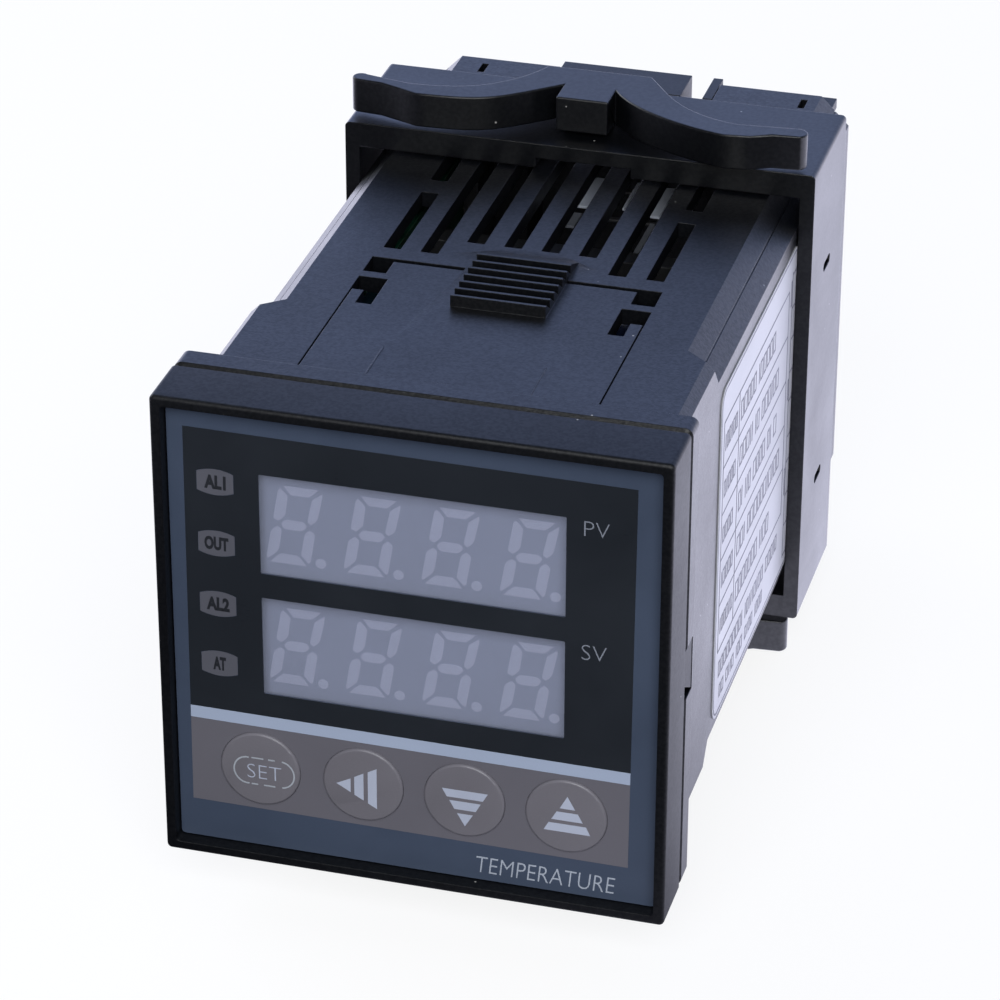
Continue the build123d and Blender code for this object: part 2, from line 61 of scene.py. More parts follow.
# ------------------------------------------------------------------ node tools
class Tree:
    """A new material and a small helper for building its shader nodes."""

    def __init__(self, name):
        self.material = bpy.data.materials.new(name)
        self.material.use_nodes = True
        self.node_tree = self.material.node_tree
        self.node_tree.nodes.clear()
        self.out = self.add("ShaderNodeOutputMaterial")

    def add(self, kind, **values):
        node = self.node_tree.nodes.new(kind)
        for key, value in values.items():
            setattr(node, key, value)
        return node

    def link(self, source, target):
        self.node_tree.links.new(source, target)

    def feed(self, socket, value):
        """Link the value if it is a socket, otherwise set it."""
        if isinstance(value, bpy.types.NodeSocket):
            self.link(value, socket)
        else:
            socket.default_value = value

    def coords(self):
        return self.add("ShaderNodeTexCoord").outputs["Object"]

    def mapped(self, vector, scale):
        node = self.add("ShaderNodeMapping")
        self.link(vector, node.inputs["Vector"])
        node.inputs["Scale"].default_value = scale
        return node.outputs["Vector"]

    def noise(self, vector, scale, detail=2.0, roughness=0.5, distortion=0.0):
        node = self.add("ShaderNodeTexNoise")
        self.link(vector, node.inputs["Vector"])
        node.inputs["Scale"].default_value = scale
        node.inputs["Detail"].default_value = detail
        node.inputs["Roughness"].default_value = roughness
        node.inputs["Distortion"].default_value = distortion
        return node.outputs["Fac"]

    def voronoi(self, vector, scale):
        node = self.add("ShaderNodeTexVoronoi")
        self.link(vector, node.inputs["Vector"])
        node.inputs["Scale"].default_value = scale
        return node.outputs["Distance"]

    def ramp(self, value, to, over=MIDDLE):
        """Map the range `over` to the range `to`, clamped."""
        node = self.add("ShaderNodeMapRange")
        node.inputs["From Min"].default_value = over[0]
        node.inputs["From Max"].default_value = over[1]
        node.inputs["To Min"].default_value = to[0]
        node.inputs["To Max"].default_value = to[1]
        self.link(value, node.inputs["Value"])
        return node.outputs["Result"]

    def math(self, operation, first, second=None, clamp=False):
        node = self.add("ShaderNodeMath", operation=operation, use_clamp=clamp)
        self.feed(node.inputs[0], first)
        if second is not None:
            self.feed(node.inputs[1], second)
        return node.outputs[0]

    def mix(self, factor, first, second):
        node = self.add("ShaderNodeMix", data_type="RGBA")
        self.feed(node.inputs[0], factor)
        self.feed(node.inputs[6], first)       # colour sockets A and B
        self.feed(node.inputs[7], second)
        return node.outputs[2]

    def mix_shaders(self, factor, first, second):
        node = self.add("ShaderNodeMixShader")
        self.feed(node.inputs[0], factor)
        self.link(first.outputs[0], node.inputs[1])
        self.link(second.outputs[0], node.inputs[2])
        return node

    def bump(self, height, strength, distance, normal=None):
        node = self.add("ShaderNodeBump")
        node.inputs["Strength"].default_value = strength
        node.inputs["Distance"].default_value = distance
        self.link(height, node.inputs["Height"])
        if normal is not None:
            self.link(normal, node.inputs["Normal"])
        return node.outputs["Normal"]

    def edges(self, radius):
        """Mask that is 1 along sharp edges, and the rounded normal."""
        bevel = self.add("ShaderNodeBevel", samples=4)
        bevel.inputs["Radius"].default_value = radius
        geometry = self.add("ShaderNodeNewGeometry")
        dot = self.add("ShaderNodeVectorMath", operation="DOT_PRODUCT")
        self.link(bevel.outputs["Normal"], dot.inputs[0])
        self.link(geometry.outputs["True Normal"], dot.inputs[1])
        flatness = self.math("ABSOLUTE", dot.outputs["Value"])
        return self.ramp(flatness, to=(1.0, 0.0), over=(0.80, 0.995)), bevel.outputs["Normal"]

    def bsdf(self, color, rough, normal=None, **extra):
        node = self.add("ShaderNodeBsdfPrincipled")
        self.feed(node.inputs["Base Color"], color)
        self.feed(node.inputs["Roughness"], rough)
        if normal is not None:
            self.link(normal, node.inputs["Normal"])
        for key, value in extra.items():
            self.feed(node.inputs[key.replace("_", " ")], value)
        return node

    def finish(self, shader):
        self.link(shader.outputs[0], self.out.inputs["Surface"])
        return self.material


def rgba(color):
    return (color[0], color[1], color[2], 1.0)


def shade(color, gain, lift=0.0):
    return rgba([min(1, c * gain + lift) for c in color])


# ------------------------------------------------------------------ kinds of material
WORN_LIFT = (0.013, 0.016, 0.024)     # added to a plastic's colour along rubbed edges
DUST_COLOR = (0.45, 0.44, 0.42, 1.0)
LAMINATE_EDGE = (0.42, 0.40, 0.22, 1.0)


def moulded(name, color, rough, grain, strength, depth=0.00001, spec=0.5, wear=0.25,
            dust=0.0, tint=None, edge=0.00018, sheen=0.10):
    """Moulded plastic: fine grain, slow gloss change, rubbed edges and a few dust specks."""
    tree = Tree(name)
    coords = tree.coords()
    fine = tree.noise(coords, scale=grain, detail=3.0, roughness=0.6)
    mid = tree.noise(coords, scale=grain * 0.22)
    slow = tree.noise(coords, scale=55.0, detail=3.0, roughness=0.55, distortion=0.4)
    smear = tree.noise(tree.mapped(coords, scale=(30.0, 9.0, 30.0)),
                       scale=6.0, detail=3.0, roughness=0.6, distortion=0.8)
    mask, rounded = tree.edges(edge)
    base = tree.mix(tree.ramp(slow, to=(0.0, 1.0)),
                    shade(color, gain=0.88), shade(color, gain=1.12))
    base = tree.mix(tree.ramp(fine, to=(0.0, 0.35), over=(0.45, 0.75)),
                    base, shade(color, gain=1.5, lift=0.0006))
    patches = tree.noise(coords, scale=900.0, detail=3.0, roughness=0.6)
    worn = tree.math("MULTIPLY", mask, tree.ramp(patches, to=(0.0, wear), over=(0.35, 0.7)),
                     clamp=True)
    if tint is None:
        tint = [min(1, c * 2.0 + lift) for c, lift in zip(color, WORN_LIFT)]
    base = tree.mix(worn, base, rgba(tint))
    gloss = tree.ramp(slow, to=(rough - 0.03, rough + 0.035))
    gloss = tree.math("ADD", gloss, tree.ramp(smear, to=(-0.010, 0.014)))
    polish = 0.10              # how much smoother the edges are
    gloss = tree.math("SUBTRACT", gloss, tree.math("MULTIPLY", mask, polish), clamp=True)
    if dust:
        speck = tree.ramp(tree.voronoi(coords, scale=420.0), to=(1.0, 0.0), over=(0.028, 0.050))
        pick = tree.ramp(tree.noise(coords, scale=160.0, detail=1.0),
                         to=(0.0, 1.0), over=(0.54, 0.58))
        specks = tree.math("MULTIPLY", speck, pick, clamp=True)
        base = tree.mix(tree.math("MULTIPLY", specks, dust, clamp=True), base, DUST_COLOR)
    fine_share, mid_share = 0.7, 0.6  # of the relief
    height = tree.math("ADD", tree.math("MULTIPLY", fine, fine_share),
                       tree.math("MULTIPLY", mid, mid_share))
    normal = tree.bump(height, strength=strength, distance=depth, normal=rounded)
    shader = tree.bsdf(base, gloss, normal, Specular_IOR_Level=spec)
    pores = tree.ramp(tree.noise(coords, scale=grain * 0.62, detail=1.0),
                      to=(spec * (1 - sheen), spec * (1 + sheen)), over=(0.36, 0.64))
    tree.link(pores, shader.inputs["Specular IOR Level"])
    return tree.finish(shader)


def metal(name, color, rough, scratch=2500.0):
    """Bare metal with fine scratches and brighter edges."""
    tree = Tree(name)
    coords = tree.coords()
    lines = tree.noise(tree.mapped(coords, scale=(1.0, 14.0, 1.0)),
                       scale=scratch, detail=3.0, roughness=0.6)
    slow = tree.noise(coords, scale=260.0, detail=3.0, roughness=0.55, distortion=0.3)
    mask, rounded = tree.edges(radius=0.0001)
    base = tree.mix(tree.ramp(slow, to=(0.0, 1.0)), shade(color, gain=0.82), rgba(color))
    wear = 0.3
    base = tree.mix(tree.math("MULTIPLY", mask, wear), base, shade(color, gain=1.3))
    gloss = tree.math("ADD", tree.ramp(lines, to=(rough - 0.07, rough + 0.10)),
                      tree.ramp(slow, to=(-0.05, 0.06)), clamp=True)
    normal = tree.bump(lines, strength=0.25, distance=0.000006, normal=rounded)
    return tree.finish(tree.bsdf(base, gloss, normal, Metallic=1.0))


def board_material(name, color):
    """Solder mask over laminate: faint weave, copper pour showing lighter."""
    tree = Tree(name)
    coords = tree.coords()
    weave = tree.add("ShaderNodeTexWave", wave_type="BANDS", bands_direction="DIAGONAL")
    tree.link(coords, weave.inputs["Vector"])
    weave.inputs["Scale"].default_value = 700.0
    weave.inputs["Distortion"].default_value = 1.0
    pour = tree.ramp(tree.noise(coords, scale=120.0, detail=0.0),
                     to=(0.0, 1.0), over=(0.50, 0.53))
    slow = tree.noise(coords, scale=90.0)
    base = tree.mix(pour, shade(color, gain=0.75), shade(color, gain=1.35))
    base = tree.mix(tree.ramp(slow, to=(0.0, 0.3)), base, shade(color, gain=0.6))
    mask, rounded = tree.edges(radius=0.00012)
    edge_share, weave_share = 0.35, 0.3    # strength of the pale edge and of the weave relief
    base = tree.mix(tree.math("MULTIPLY", mask, edge_share), base, LAMINATE_EDGE)
    relief = tree.math("MULTIPLY", weave.outputs["Fac"], weave_share)
    height = tree.math("ADD", relief, pour)
    normal = tree.bump(height, strength=0.25, distance=0.00002, normal=rounded)
    return tree.finish(tree.bsdf(base, tree.ramp(slow, to=(0.26, 0.40)), normal))


def printed(name, color, rough, grain=9000.0, strength=0.12, mottle=0.10, spec=0.45):
    """Screen ink or film: fine matt grain, slight mottle."""
    tree = Tree(name)
    coords = tree.coords()
    fine = tree.noise(coords, scale=grain, roughness=0.6)
    slow = tree.noise(coords, scale=75.0, detail=3.0, roughness=0.55, distortion=0.5)
    hair = tree.noise(tree.mapped(coords, scale=(1.0, 1.0, 22.0)), scale=900.0)
    base = tree.mix(tree.ramp(slow, to=(0.0, 1.0)),
                    shade(color, gain=1 - mottle), shade(color, gain=1 + mottle))
    base = tree.mix(tree.ramp(fine, to=(0.0, 0.18), over=(0.5, 0.8)),
                    base, shade(color, gain=1.35, lift=0.01))
    gloss = tree.math("ADD", tree.ramp(slow, to=(rough - 0.05, rough + 0.06)),
                      tree.ramp(hair, to=(-0.02, 0.03)), clamp=True)
    normal = tree.bump(fine, strength=strength, distance=0.000008)
    return tree.finish(tree.bsdf(base, gloss, normal, Specular_IOR_Level=spec))


def clear_film(name, haze, tint, rough, keep):
    """Clear sheet: `keep` is the share seen through, the rest a matt haze."""
    tree = Tree(name)
    coords = tree.coords()
    fine = tree.noise(coords, scale=9000.0, roughness=0.6)
    slow = tree.noise(coords, scale=70.0, detail=3.0, distortion=0.5)
    normal = tree.bump(fine, strength=0.10, distance=0.000006)
    gloss = tree.ramp(slow, to=(rough - 0.05, rough + 0.05))
    surface = tree.bsdf(rgba(haze), gloss, normal, Specular_IOR_Level=0.5)
    through = tree.add("ShaderNodeBsdfTransparent")
    through.inputs["Color"].default_value = rgba(tint)
    return tree.finish(tree.mix_shaders(keep, surface, through))


# ------------------------------------------------------------------ mesh tools
# Where a part belongs: the body it rides on and its material slot.
FILM = ("chassis", "film")
PCB = ("chassis", "pcb")
CHIP = ("chassis", "chip")
CONNECTOR = ("chassis", "connector")
SLEEVE = ("chassis", "cap_sleeve")
RELAY = ("chassis", "relay_case")
LABEL = ("housing", "label")
TERMINAL = ("housing", "terminal_abs")


def new_object(name, mesh, material, home):
    body, slot = home
    obj = bpy.data.objects.new(name, mesh)
    bpy.context.scene.collection.objects.link(obj)
    mesh.materials.append(material)
    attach(obj, body)


PLANES = {
    # face: (sheet x axis, sheet z axis, outward axis); sheet x runs right, seen from outside
    "front": ((1, 0, 0), (0, 0, 1), (0, -1, 0)),
    "rear": ((-1, 0, 0), (0, 0, 1), (0, 1, 0)),
    "right": ((0, 1, 0), (0, 0, 1), (1, 0, 0)),
    "left": ((0, -1, 0), (0, 0, 1), (-1, 0, 0)),
}


def placed(face, level):
    """Matrix from sheet mm to the frame in metres; level is mm along the outward axis."""
    across, upward, out = PLANES[face]
    rows = [(across[i], upward[i], out[i], out[i] * level) for i in range(3)]
    return Matrix.Scale(MM, 4) @ Matrix((*rows, (0, 0, 0, 1)))


def curve_mesh(curve):
    obj = bpy.data.objects.new("tmp", curve)
    bpy.context.scene.collection.objects.link(obj)
    bpy.context.view_layer.update()
    depsgraph = bpy.context.evaluated_depsgraph_get()
    mesh = bpy.data.meshes.new_from_object(obj.evaluated_get(depsgraph))
    bpy.data.objects.remove(obj)
    bpy.data.curves.remove(curve)
    return mesh


def loops_mesh(loops, thick):
    """Flat plate from outlines; outlines inside others are holes. It spans 0 to thick."""
    curve = bpy.data.curves.new("tmp", "CURVE")
    curve.dimensions = "2D"
    curve.fill_mode = "BOTH"
    curve.extrude = thick / 2
    for loop in loops:
        spline = curve.splines.new("POLY")
        spline.points.add(len(loop) - 1)
        for point, (x, z) in zip(spline.points, loop):
            point.co = (x, z, 0, 1)
        spline.use_cyclic_u = True
    mesh = curve_mesh(curve)
    mesh.transform(Matrix.Translation((0, 0, thick / 2)))
    return mesh


def merge(meshes):
    work = bmesh.new()
    for mesh in meshes:
        work.from_mesh(mesh)
        bpy.data.meshes.remove(mesh)
    bmesh.ops.remove_doubles(work, verts=work.verts, dist=1e-5)
    bmesh.ops.recalc_face_normals(work, faces=work.faces)
    mesh = bpy.data.meshes.new("merged")
    work.to_mesh(mesh)
    work.free()
    return mesh


def sheet(name, groups, material, home, face, level, thick):
    """A thin layer: groups is a list of outline lists, each one plate with its holes."""
    mesh = merge([loops_mesh(group, thick) for group in groups])
    mesh.transform(placed(face, level))
    mesh.name = name
    new_object(name, mesh, material, home)


def rect(x0, z0, x1, z1, radius=0.0, steps=5):
    if radius <= 0:
        return [(x0, z0), (x1, z0), (x1, z1), (x0, z1)]
    points = []
    for x, z, start in ((x1 - radius, z0 + radius, -90), (x1 - radius, z1 - radius, 0),
                        (x0 + radius, z1 - radius, 90), (x0 + radius, z0 + radius, 180)):
        for i in range(steps + 1):
            angle = math.radians(start + 90 * i / steps)
            points.append((x + radius * math.cos(angle), z + radius * math.sin(angle)))
    return points


def hollow(x0, z0, x1, z1, line, radius=0.0, inner_radius=0.0):
    """Rectangular border of width line."""
    return [rect(x0, z0, x1, z1, radius),
            rect(x0 + line, z0 + line, x1 - line, z1 - line, inner_radius)]


def circle(x, z, radius, steps):
    angles = [2 * math.pi * i / steps for i in range(steps)]
    return [(x + radius * math.cos(a), z + radius * math.sin(a)) for a in angles]


def shifted(points, dx, dz):
    return [(x + dx, z + dz) for x, z in points]


def ribbon(points, width):
    """Closed ribbon along an open polyline."""
    left, right = [], []
    for i, (x, z) in enumerate(points):
        before = points[max(0, i - 1)]
        after = points[min(len(points) - 1, i + 1)]
        dx, dz = after[0] - before[0], after[1] - before[1]
        length = math.hypot(dx, dz)
        side_x, side_z = -dz / length * width / 2, dx / length * width / 2
        left.append((x + side_x, z + side_z))
        right.append((x - side_x, z - side_z))
    return left + right[::-1]


def text_mesh(text, x, z, height, width, thick, offset, shear):
    """Blender's own font centred at (x, z); a width of None keeps its proportions."""
    curve = bpy.data.curves.new("tmp", "FONT")
    curve.body = text
    curve.size = 10.0
    curve.fill_mode = "BOTH"
    curve.extrude = 0.5
    curve.offset = offset
    curve.shear = shear
    curve.resolution_u = 3
    mesh = curve_mesh(curve)
    lows = [min(v.co[i] for v in mesh.vertices) for i in range(3)]
    highs = [max(v.co[i] for v in mesh.vertices) for i in range(3)]
    scale = height / (highs[1] - lows[1])
    scale_x = width / (highs[0] - lows[0]) if width else scale
    for v in mesh.vertices:
        v.co = (
            (v.co.x - (highs[0] + lows[0]) / 2) * scale_x + x,
            (v.co.y - (highs[1] + lows[1]) / 2) * scale + z,
            (v.co.z - lows[2]) / (highs[2] - lows[2]) * thick,
        )
    return mesh


def lettering(name, items, material, home, face, level, thick, offset, shear=0.0, place=None):
    """Items are (text, x, z, height, width); offset fattens the strokes."""
    mesh = merge([text_mesh(*item, thick, offset, shear) for item in items])
    if place:
        for v in mesh.vertices:
            v.co.x, v.co.y = place(v.co.x, v.co.y)
    mesh.transform(placed(face, level))
    mesh.name = name
    new_object(name, mesh, material, home)


def blocks(name, boxes, material, home, bevel, segments=1):
    """Boxes with rounded edges, each (x0, y0, z0, x1, y1, z1) in mm."""
    work = bmesh.new()
    for box in boxes:
        middle = [(box[i] + box[i + 3]) / 2 for i in range(3)]
        size = [abs(box[i + 3] - box[i]) for i in range(3)]
        verts = bmesh.ops.create_cube(work, size=1.0)["verts"]
        bmesh.ops.scale(work, vec=size, verts=verts)
        bmesh.ops.translate(work, vec=middle, verts=verts)
        edges = list({e for v in verts for e in v.link_edges})
        bmesh.ops.bevel(work, geom=edges, offset=min(bevel, min(size) * 0.3), segments=segments,
                        affect="EDGES", profile=0.5, clamp_overlap=True)
    mesh = bpy.data.meshes.new(name)
    work.to_mesh(mesh)
    work.free()
    mesh.transform(Matrix.Scale(MM, 4))
    new_object(name, mesh, material, home)


def lathe(name, items, material, home, steps):
    """Turned bodies, each (centre, axis, [(radius, distance along the axis)]) in mm.
    Profiles start and end at radius 0."""
    work = bmesh.new()
    for centre, axis, profile in items:
        axis = Vector(axis).normalized()
        side = axis.orthogonal().normalized()
        other = axis.cross(side)
        rings = []
        for radius, distance in profile:
            middle = Vector(centre) + axis * distance
            if radius == 0:
                rings.append([work.verts.new(middle)])
                continue
            angles = [2 * math.pi * i / steps for i in range(steps)]
            rings.append([
                work.verts.new(middle + (side * math.cos(a) + other * math.sin(a)) * radius)
                for a in angles
            ])
        for first, second in zip(rings, rings[1:]):
            for i in range(steps):
                j = (i + 1) % steps
                if len(first) == 1:
                    work.faces.new((first[0], second[i], second[j]))
                elif len(second) == 1:
                    work.faces.new((first[i], second[0], first[j]))
                else:
                    work.faces.new((first[i], second[i], second[j], first[j]))
    bmesh.ops.recalc_face_normals(work, faces=work.faces)
    mesh = bpy.data.meshes.new(name)
    work.to_mesh(mesh)
    work.free()
    mesh.transform(Matrix.Scale(MM, 4))
    mesh.shade_smooth()
    mesh.set_sharp_from_angle(angle=math.radians(38))
    new_object(name, mesh, material, home)


SHARP_ANGLE = math.radians(34)


def dress(node, material, bevel, segments=2):
    """Material for a CAD node, and a small modelled radius (mm) along its sharp edges."""
    obj = nodes[node]
    mesh = obj.data
    if "custom_normal" in mesh.attributes:
        mesh.attributes.remove(mesh.attributes["custom_normal"])
    mesh.materials.clear()
    mesh.materials.append(material)
    mesh.shade_smooth()
    weld = obj.modifiers.new("weld", "WELD")
    weld.merge_threshold = 0.002 * MM
    if bevel:
        planar = obj.modifiers.new("planar", "DECIMATE")
        planar.decimate_type = "DISSOLVE"
        planar.angle_limit = math.radians(0.5)
        rounding = obj.modifiers.new("radius", "BEVEL")
        rounding.width = bevel * MM
        rounding.segments = segments
        rounding.limit_method = "ANGLE"
        rounding.angle_limit = SHARP_ANGLE
        rounding.use_clamp_overlap = True
        rounding.harden_normals = True
    else:
        split = obj.modifiers.new("edges", "EDGE_SPLIT")
        split.split_angle = SHARP_ANGLE


def mm_box(node):
    lo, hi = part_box(node)
    return lo / MM, hi / MM


# ------------------------------------------------------------------ materials
abs_case = moulded("case_abs", (0.0012, 0.0016, 0.0028), rough=0.365, grain=4600, depth=0.00004,
                   strength=0.6, wear=0.12, dust=0.9, edge=0.00010, spec=0.43, sheen=0.17)
abs_frame = moulded("frame_abs", (0.0008, 0.0011, 0.0020), rough=0.36, grain=3800,
                    depth=0.000008, strength=0.3, wear=0.14, dust=0.8, edge=0.00016)
abs_bezel = moulded("bezel_abs", (0.0014, 0.0019, 0.0034), rough=0.50, grain=4600,
                    depth=0.000022, strength=0.5, wear=0.16, dust=0.9, edge=0.00012,
                    spec=0.33, sheen=0.15)
abs_terminal = moulded("terminal_abs", (0.0020, 0.0024, 0.0036), rough=0.48, grain=4800,
                       strength=0.4, wear=0.2)
film_border = printed("film_border", (0.057, 0.076, 0.120), rough=0.36)
film_black = printed("film_black", (0.0180, 0.0215, 0.0280), rough=0.34, mottle=0.12)
film_stripe = printed("film_stripe", (0.40, 0.465, 0.61), rough=0.40, mottle=0.03)
film_band = printed("film_band", (0.146, 0.141, 0.166), rough=0.36, mottle=0.04)
film_key = printed("key_film", (0.176, 0.168, 0.192), rough=0.34, mottle=0.05)
ink_white = printed("ink_white", (0.475, 0.515, 0.635), rough=0.5, mottle=0.05)
ink_silver = printed("ink_silver", (0.42, 0.46, 0.54), rough=0.45, mottle=0.08)
ink_pale = printed("ink_pale", (0.40, 0.43, 0.48), rough=0.5)
ink_dim = printed("ink_dim", (0.235, 0.255, 0.305), rough=0.5)
ink_dark = printed("ink_dark", (0.018, 0.020, 0.026), rough=0.5, mottle=0.15)
lamp_grey = printed("lamp_window", (0.108, 0.110, 0.134), rough=0.4, mottle=0.08)
label_paper = printed("label_paper", (0.40, 0.405, 0.42), rough=0.38, grain=5200,
                      strength=0.15, mottle=0.02, spec=0.4)
label_ink = printed("label_ink", (0.13, 0.13, 0.16), rough=0.55, mottle=0.3)
display_face = printed("display_face", (0.63, 0.64, 0.67), rough=0.40, grain=4000, mottle=0.04)
display_segment = printed("display_segment", (0.94, 0.92, 0.94), rough=0.45, grain=6000,
                          mottle=0.03)
clear_filter = clear_film("display_filter", haze=(0.30, 0.31, 0.36), tint=(0.92, 0.93, 0.97),
                          rough=0.3, keep=0.93)
clear_window = clear_film("window_film", haze=(0.34, 0.36, 0.42), tint=(0.94, 0.95, 0.98),
                          rough=0.36, keep=0.90)
led_lens = moulded("led_lens", (0.42, 0.12, 0.08), rough=0.22, grain=900, depth=0.000004,
                   strength=0.1)
stem_acetal = moulded("stem", (0.60, 0.58, 0.52), rough=0.4, grain=4000, strength=0.15)
nylon = moulded("switch_body", (0.020, 0.020, 0.022), rough=0.5, grain=4500, strength=0.3)
thermo = moulded("connector", (0.022, 0.022, 0.024), rough=0.46, grain=4500, strength=0.3)
pcb_green = board_material("pcb", (0.006, 0.052, 0.030))
track_green = board_material("pcb_track", (0.010, 0.085, 0.046))
silk = printed("pcb_print", (0.62, 0.63, 0.60), rough=0.6, grain=5000)
card = printed("insulating_card", (0.62, 0.66, 0.76), rough=0.6, grain=2600, strength=0.3,
               mottle=0.08)
# the card's colour darkened: painted shade on the card's lower strips
card_painted_shade = printed("insulating_card_painted_shade", (0.16, 0.17, 0.20), rough=0.6, grain=2600,
                   strength=0.3)
steel = metal("terminal_steel", (0.62, 0.61, 0.58), rough=0.30)
brass = metal("terminal_brass", (0.68, 0.58, 0.36), rough=0.32)
gold = metal("contact_gold", (0.83, 0.62, 0.28), rough=0.24)
tin = metal("solder", (0.62, 0.63, 0.64), rough=0.28, scratch=900)
ferrite = moulded("ferrite", (0.045, 0.046, 0.052), rough=0.6, grain=2600, depth=0.00003,
                  strength=0.5, wear=0.5, tint=(0.16, 0.16, 0.17))
coil_tape = printed("coil_tape", (0.66, 0.47, 0.05), rough=0.28, grain=1800, strength=0.3,
                    mottle=0.12)
bobbin = moulded("bobbin", (0.030, 0.026, 0.024), rough=0.48, grain=3000, strength=0.3)
cap_sleeve = printed("cap_sleeve", (0.018, 0.030, 0.085), rough=0.26, grain=1500, mottle=0.15)
aluminium = metal("cap_top", (0.72, 0.73, 0.75), rough=0.34)
relay_blue = moulded("relay_case", (0.020, 0.085, 0.26), rough=0.34, grain=2400, strength=0.2)
epoxy = moulded("chip", (0.022, 0.022, 0.024), rough=0.55, grain=5200, strength=0.4)

# ------------------------------------------------------------------ CAD nodes
KEYS = ("set", "shift", "down", "up")
# node, material, edge radius in mm (0 leaves edges sharp), bevel segments if not 2
OUTER_NODES = (
    ("case_housing", abs_case, 0.06),
    ("rating_label", label_paper, 0.0),
    ("terminal_block", abs_terminal, 0.10),
    ("terminal_plates", brass, 0.06),
    ("terminal_screws", steel, 0.05),
    ("edge_sockets", thermo, 0.12),
    ("contact_blades", gold, 0.04),
    ("mounting_frame", abs_frame, 0.22, 3),
    ("top_claw", abs_frame, 0.18, 3),
    ("bottom_claw", abs_frame, 0.18, 3),
    ("front_bezel", abs_bezel, 0.10),
    ("chassis_stopper", abs_bezel, 0.06),
    ("front_film", film_border, 0.0),
    ("display_filter", clear_filter, 0.0),
)
INNER_NODES = (
    ("key_switches", nylon, 0.08),
    ("pv_display", display_face, 0.0),
    ("sv_display", display_face, 0.0),
    ("indicator_leds", led_lens, 0.12),
    ("display_board", pcb_green, 0.05),
    ("board_headers", thermo, 0.08),
    ("main_board", pcb_green, 0.05),
    ("power_board", pcb_green, 0.05),
    ("chassis_brace", thermo, 0.15),
    ("transformer_core", ferrite, 0.15),
    ("transformer_coil", coil_tape, 0.15),
    ("transformer_base", bobbin, 0.2),
    ("filter_capacitors", cap_sleeve, 0.0),
    ("rectifier", epoxy, 0.15),
    ("output_relays", relay_blue, 0.0),
    ("control_ic", epoxy, 0.1),
    ("optocouplers", epoxy, 0.15),
)
for row in OUTER_NODES:
    dress(*row)
for key in KEYS:
    dress("key_" + key, film_key, bevel=0.0)
    dress("plunger_" + key, stem_acetal, bevel=0.08)
for row in INNER_NODES:
    dress(*row)

# ------------------------------------------------------------------ front print
film_level = -mm_box("front_film")[0].y    # the film's face, outward along -Y
print_level = film_level + 0.01
letter_level = film_level + 0.032
TILT = 0.0062                  # radians; the print sits a third of a degree clockwise
PV_CENTRE = (-0.15, 11.6)      # upper and lower display openings
SV_CENTRE = (-0.15, -1.1)
WINDOW_HALF = (14.2, 5.08)
PANEL_X = (-21.5, 20.35)       # left and right edges of the printed areas
PANEL_Z = (-8.7, 20.5)
STRIPE_Z = (-9.98, -8.72)
BAND_BOTTOM = -18.95
GAP = 0.02
KEY_HOLE_RADIUS = 3.875
LAMP_X = -18.56
LAMPS = (                      # letters, their width, z
    ("AL1", 2.05, 15.2), ("OUT", 2.3, 8.88), ("AL2", 2.2, 2.55), ("AT", 1.25, -3.78),
)


def skew(x, z):
    return x + TILT * z, z - TILT * x


def tilted(loop):
    return [skew(x, z) for x, z in loop]


def barrel(x, z, grow=0.0, steps=10):
    """Lamp window: upright sides, top and bottom bulging outward."""
    width, height, bulge = 3.45 + grow, 2.62 + grow, 0.36
    rise = [height / 2 - bulge + bulge * (1 - (2 * i / steps - 1) ** 2)
            for i in range(steps + 1)]
    across = [width / 2 - width * i / steps for i in range(steps + 1)]
    top = [(x + dx, z + dz) for dx, dz in zip(across, rise)]
    return top + [(x - dx, z - dz) for dx, dz in zip(across, rise)]


def window(centre, grow, radius):
    half_x, half_z = (half + grow for half in WINDOW_HALF)
    x, z = centre
    return rect(x - half_x, z - half_z, x + half_x, z + half_z, radius, steps=3)


def key_centre(key):
    lo, hi = mm_box("key_" + key)
    return (lo + hi) / 2


key_at = {key: key_centre(key) for key in KEYS}
panel = [tilted(rect(PANEL_X[0], PANEL_Z[0], PANEL_X[1], PANEL_Z[1]))]
panel += [window(centre, grow=GAP, radius=0.12) for centre in (PV_CENTRE, SV_CENTRE)]
panel += [tilted(barrel(LAMP_X, z, grow=0.06)) for _, _, z in LAMPS]
sheet("film_panel", [panel], film_black, FILM, "front", level=print_level, thick=0.02)
stripe = tilted(rect(PANEL_X[0], STRIPE_Z[0], PANEL_X[1], STRIPE_Z[1]))
sheet("film_stripe", [[stripe]], film_stripe, FILM, "front", level=print_level, thick=0.022)
band = [tilted(rect(PANEL_X[0], BAND_BOTTOM, PANEL_X[1], STRIPE_Z[0] - GAP))]
band += [circle(c.x, c.z, KEY_HOLE_RADIUS, steps=72) for c in key_at.values()]
sheet("film_key_band", [band], film_band, FILM, "front", level=print_level, thick=0.02)
sheet("lamp_windows", [[tilted(barrel(LAMP_X, z))] for _, _, z in LAMPS],
      lamp_grey, FILM, "front", level=film_level + 0.008, thick=0.02)
lettering("lamp_letters", [(text, LAMP_X, z, 1.42, width) for text, width, z in LAMPS],
          ink_dark, FILM, "front", level=letter_level, thick=0.012, offset=0.52, place=skew)
lettering("value_letters", [("PV", 16.72, 15.92, 1.50, 2.30), ("SV", 16.72, 3.30, 1.55, 2.30)],
          ink_dim, FILM, "front", level=letter_level, thick=0.012, offset=-0.20, place=skew)
lettering("legend_letters", [("TEMPERATURE", 12.6, -21.2, 1.75, 13.2)], ink_silver, FILM,
          "front", level=print_level, thick=0.015, offset=-0.14, shear=0.12, place=skew)

# clear film in the two display openings, just below the print
sheet("window_film", [[window(c, grow=0.0, radius=0.1)] for c in (PV_CENTRE, SV_CENTRE)],
      clear_window, FILM, "front", level=film_level - 0.05, thick=0.045)

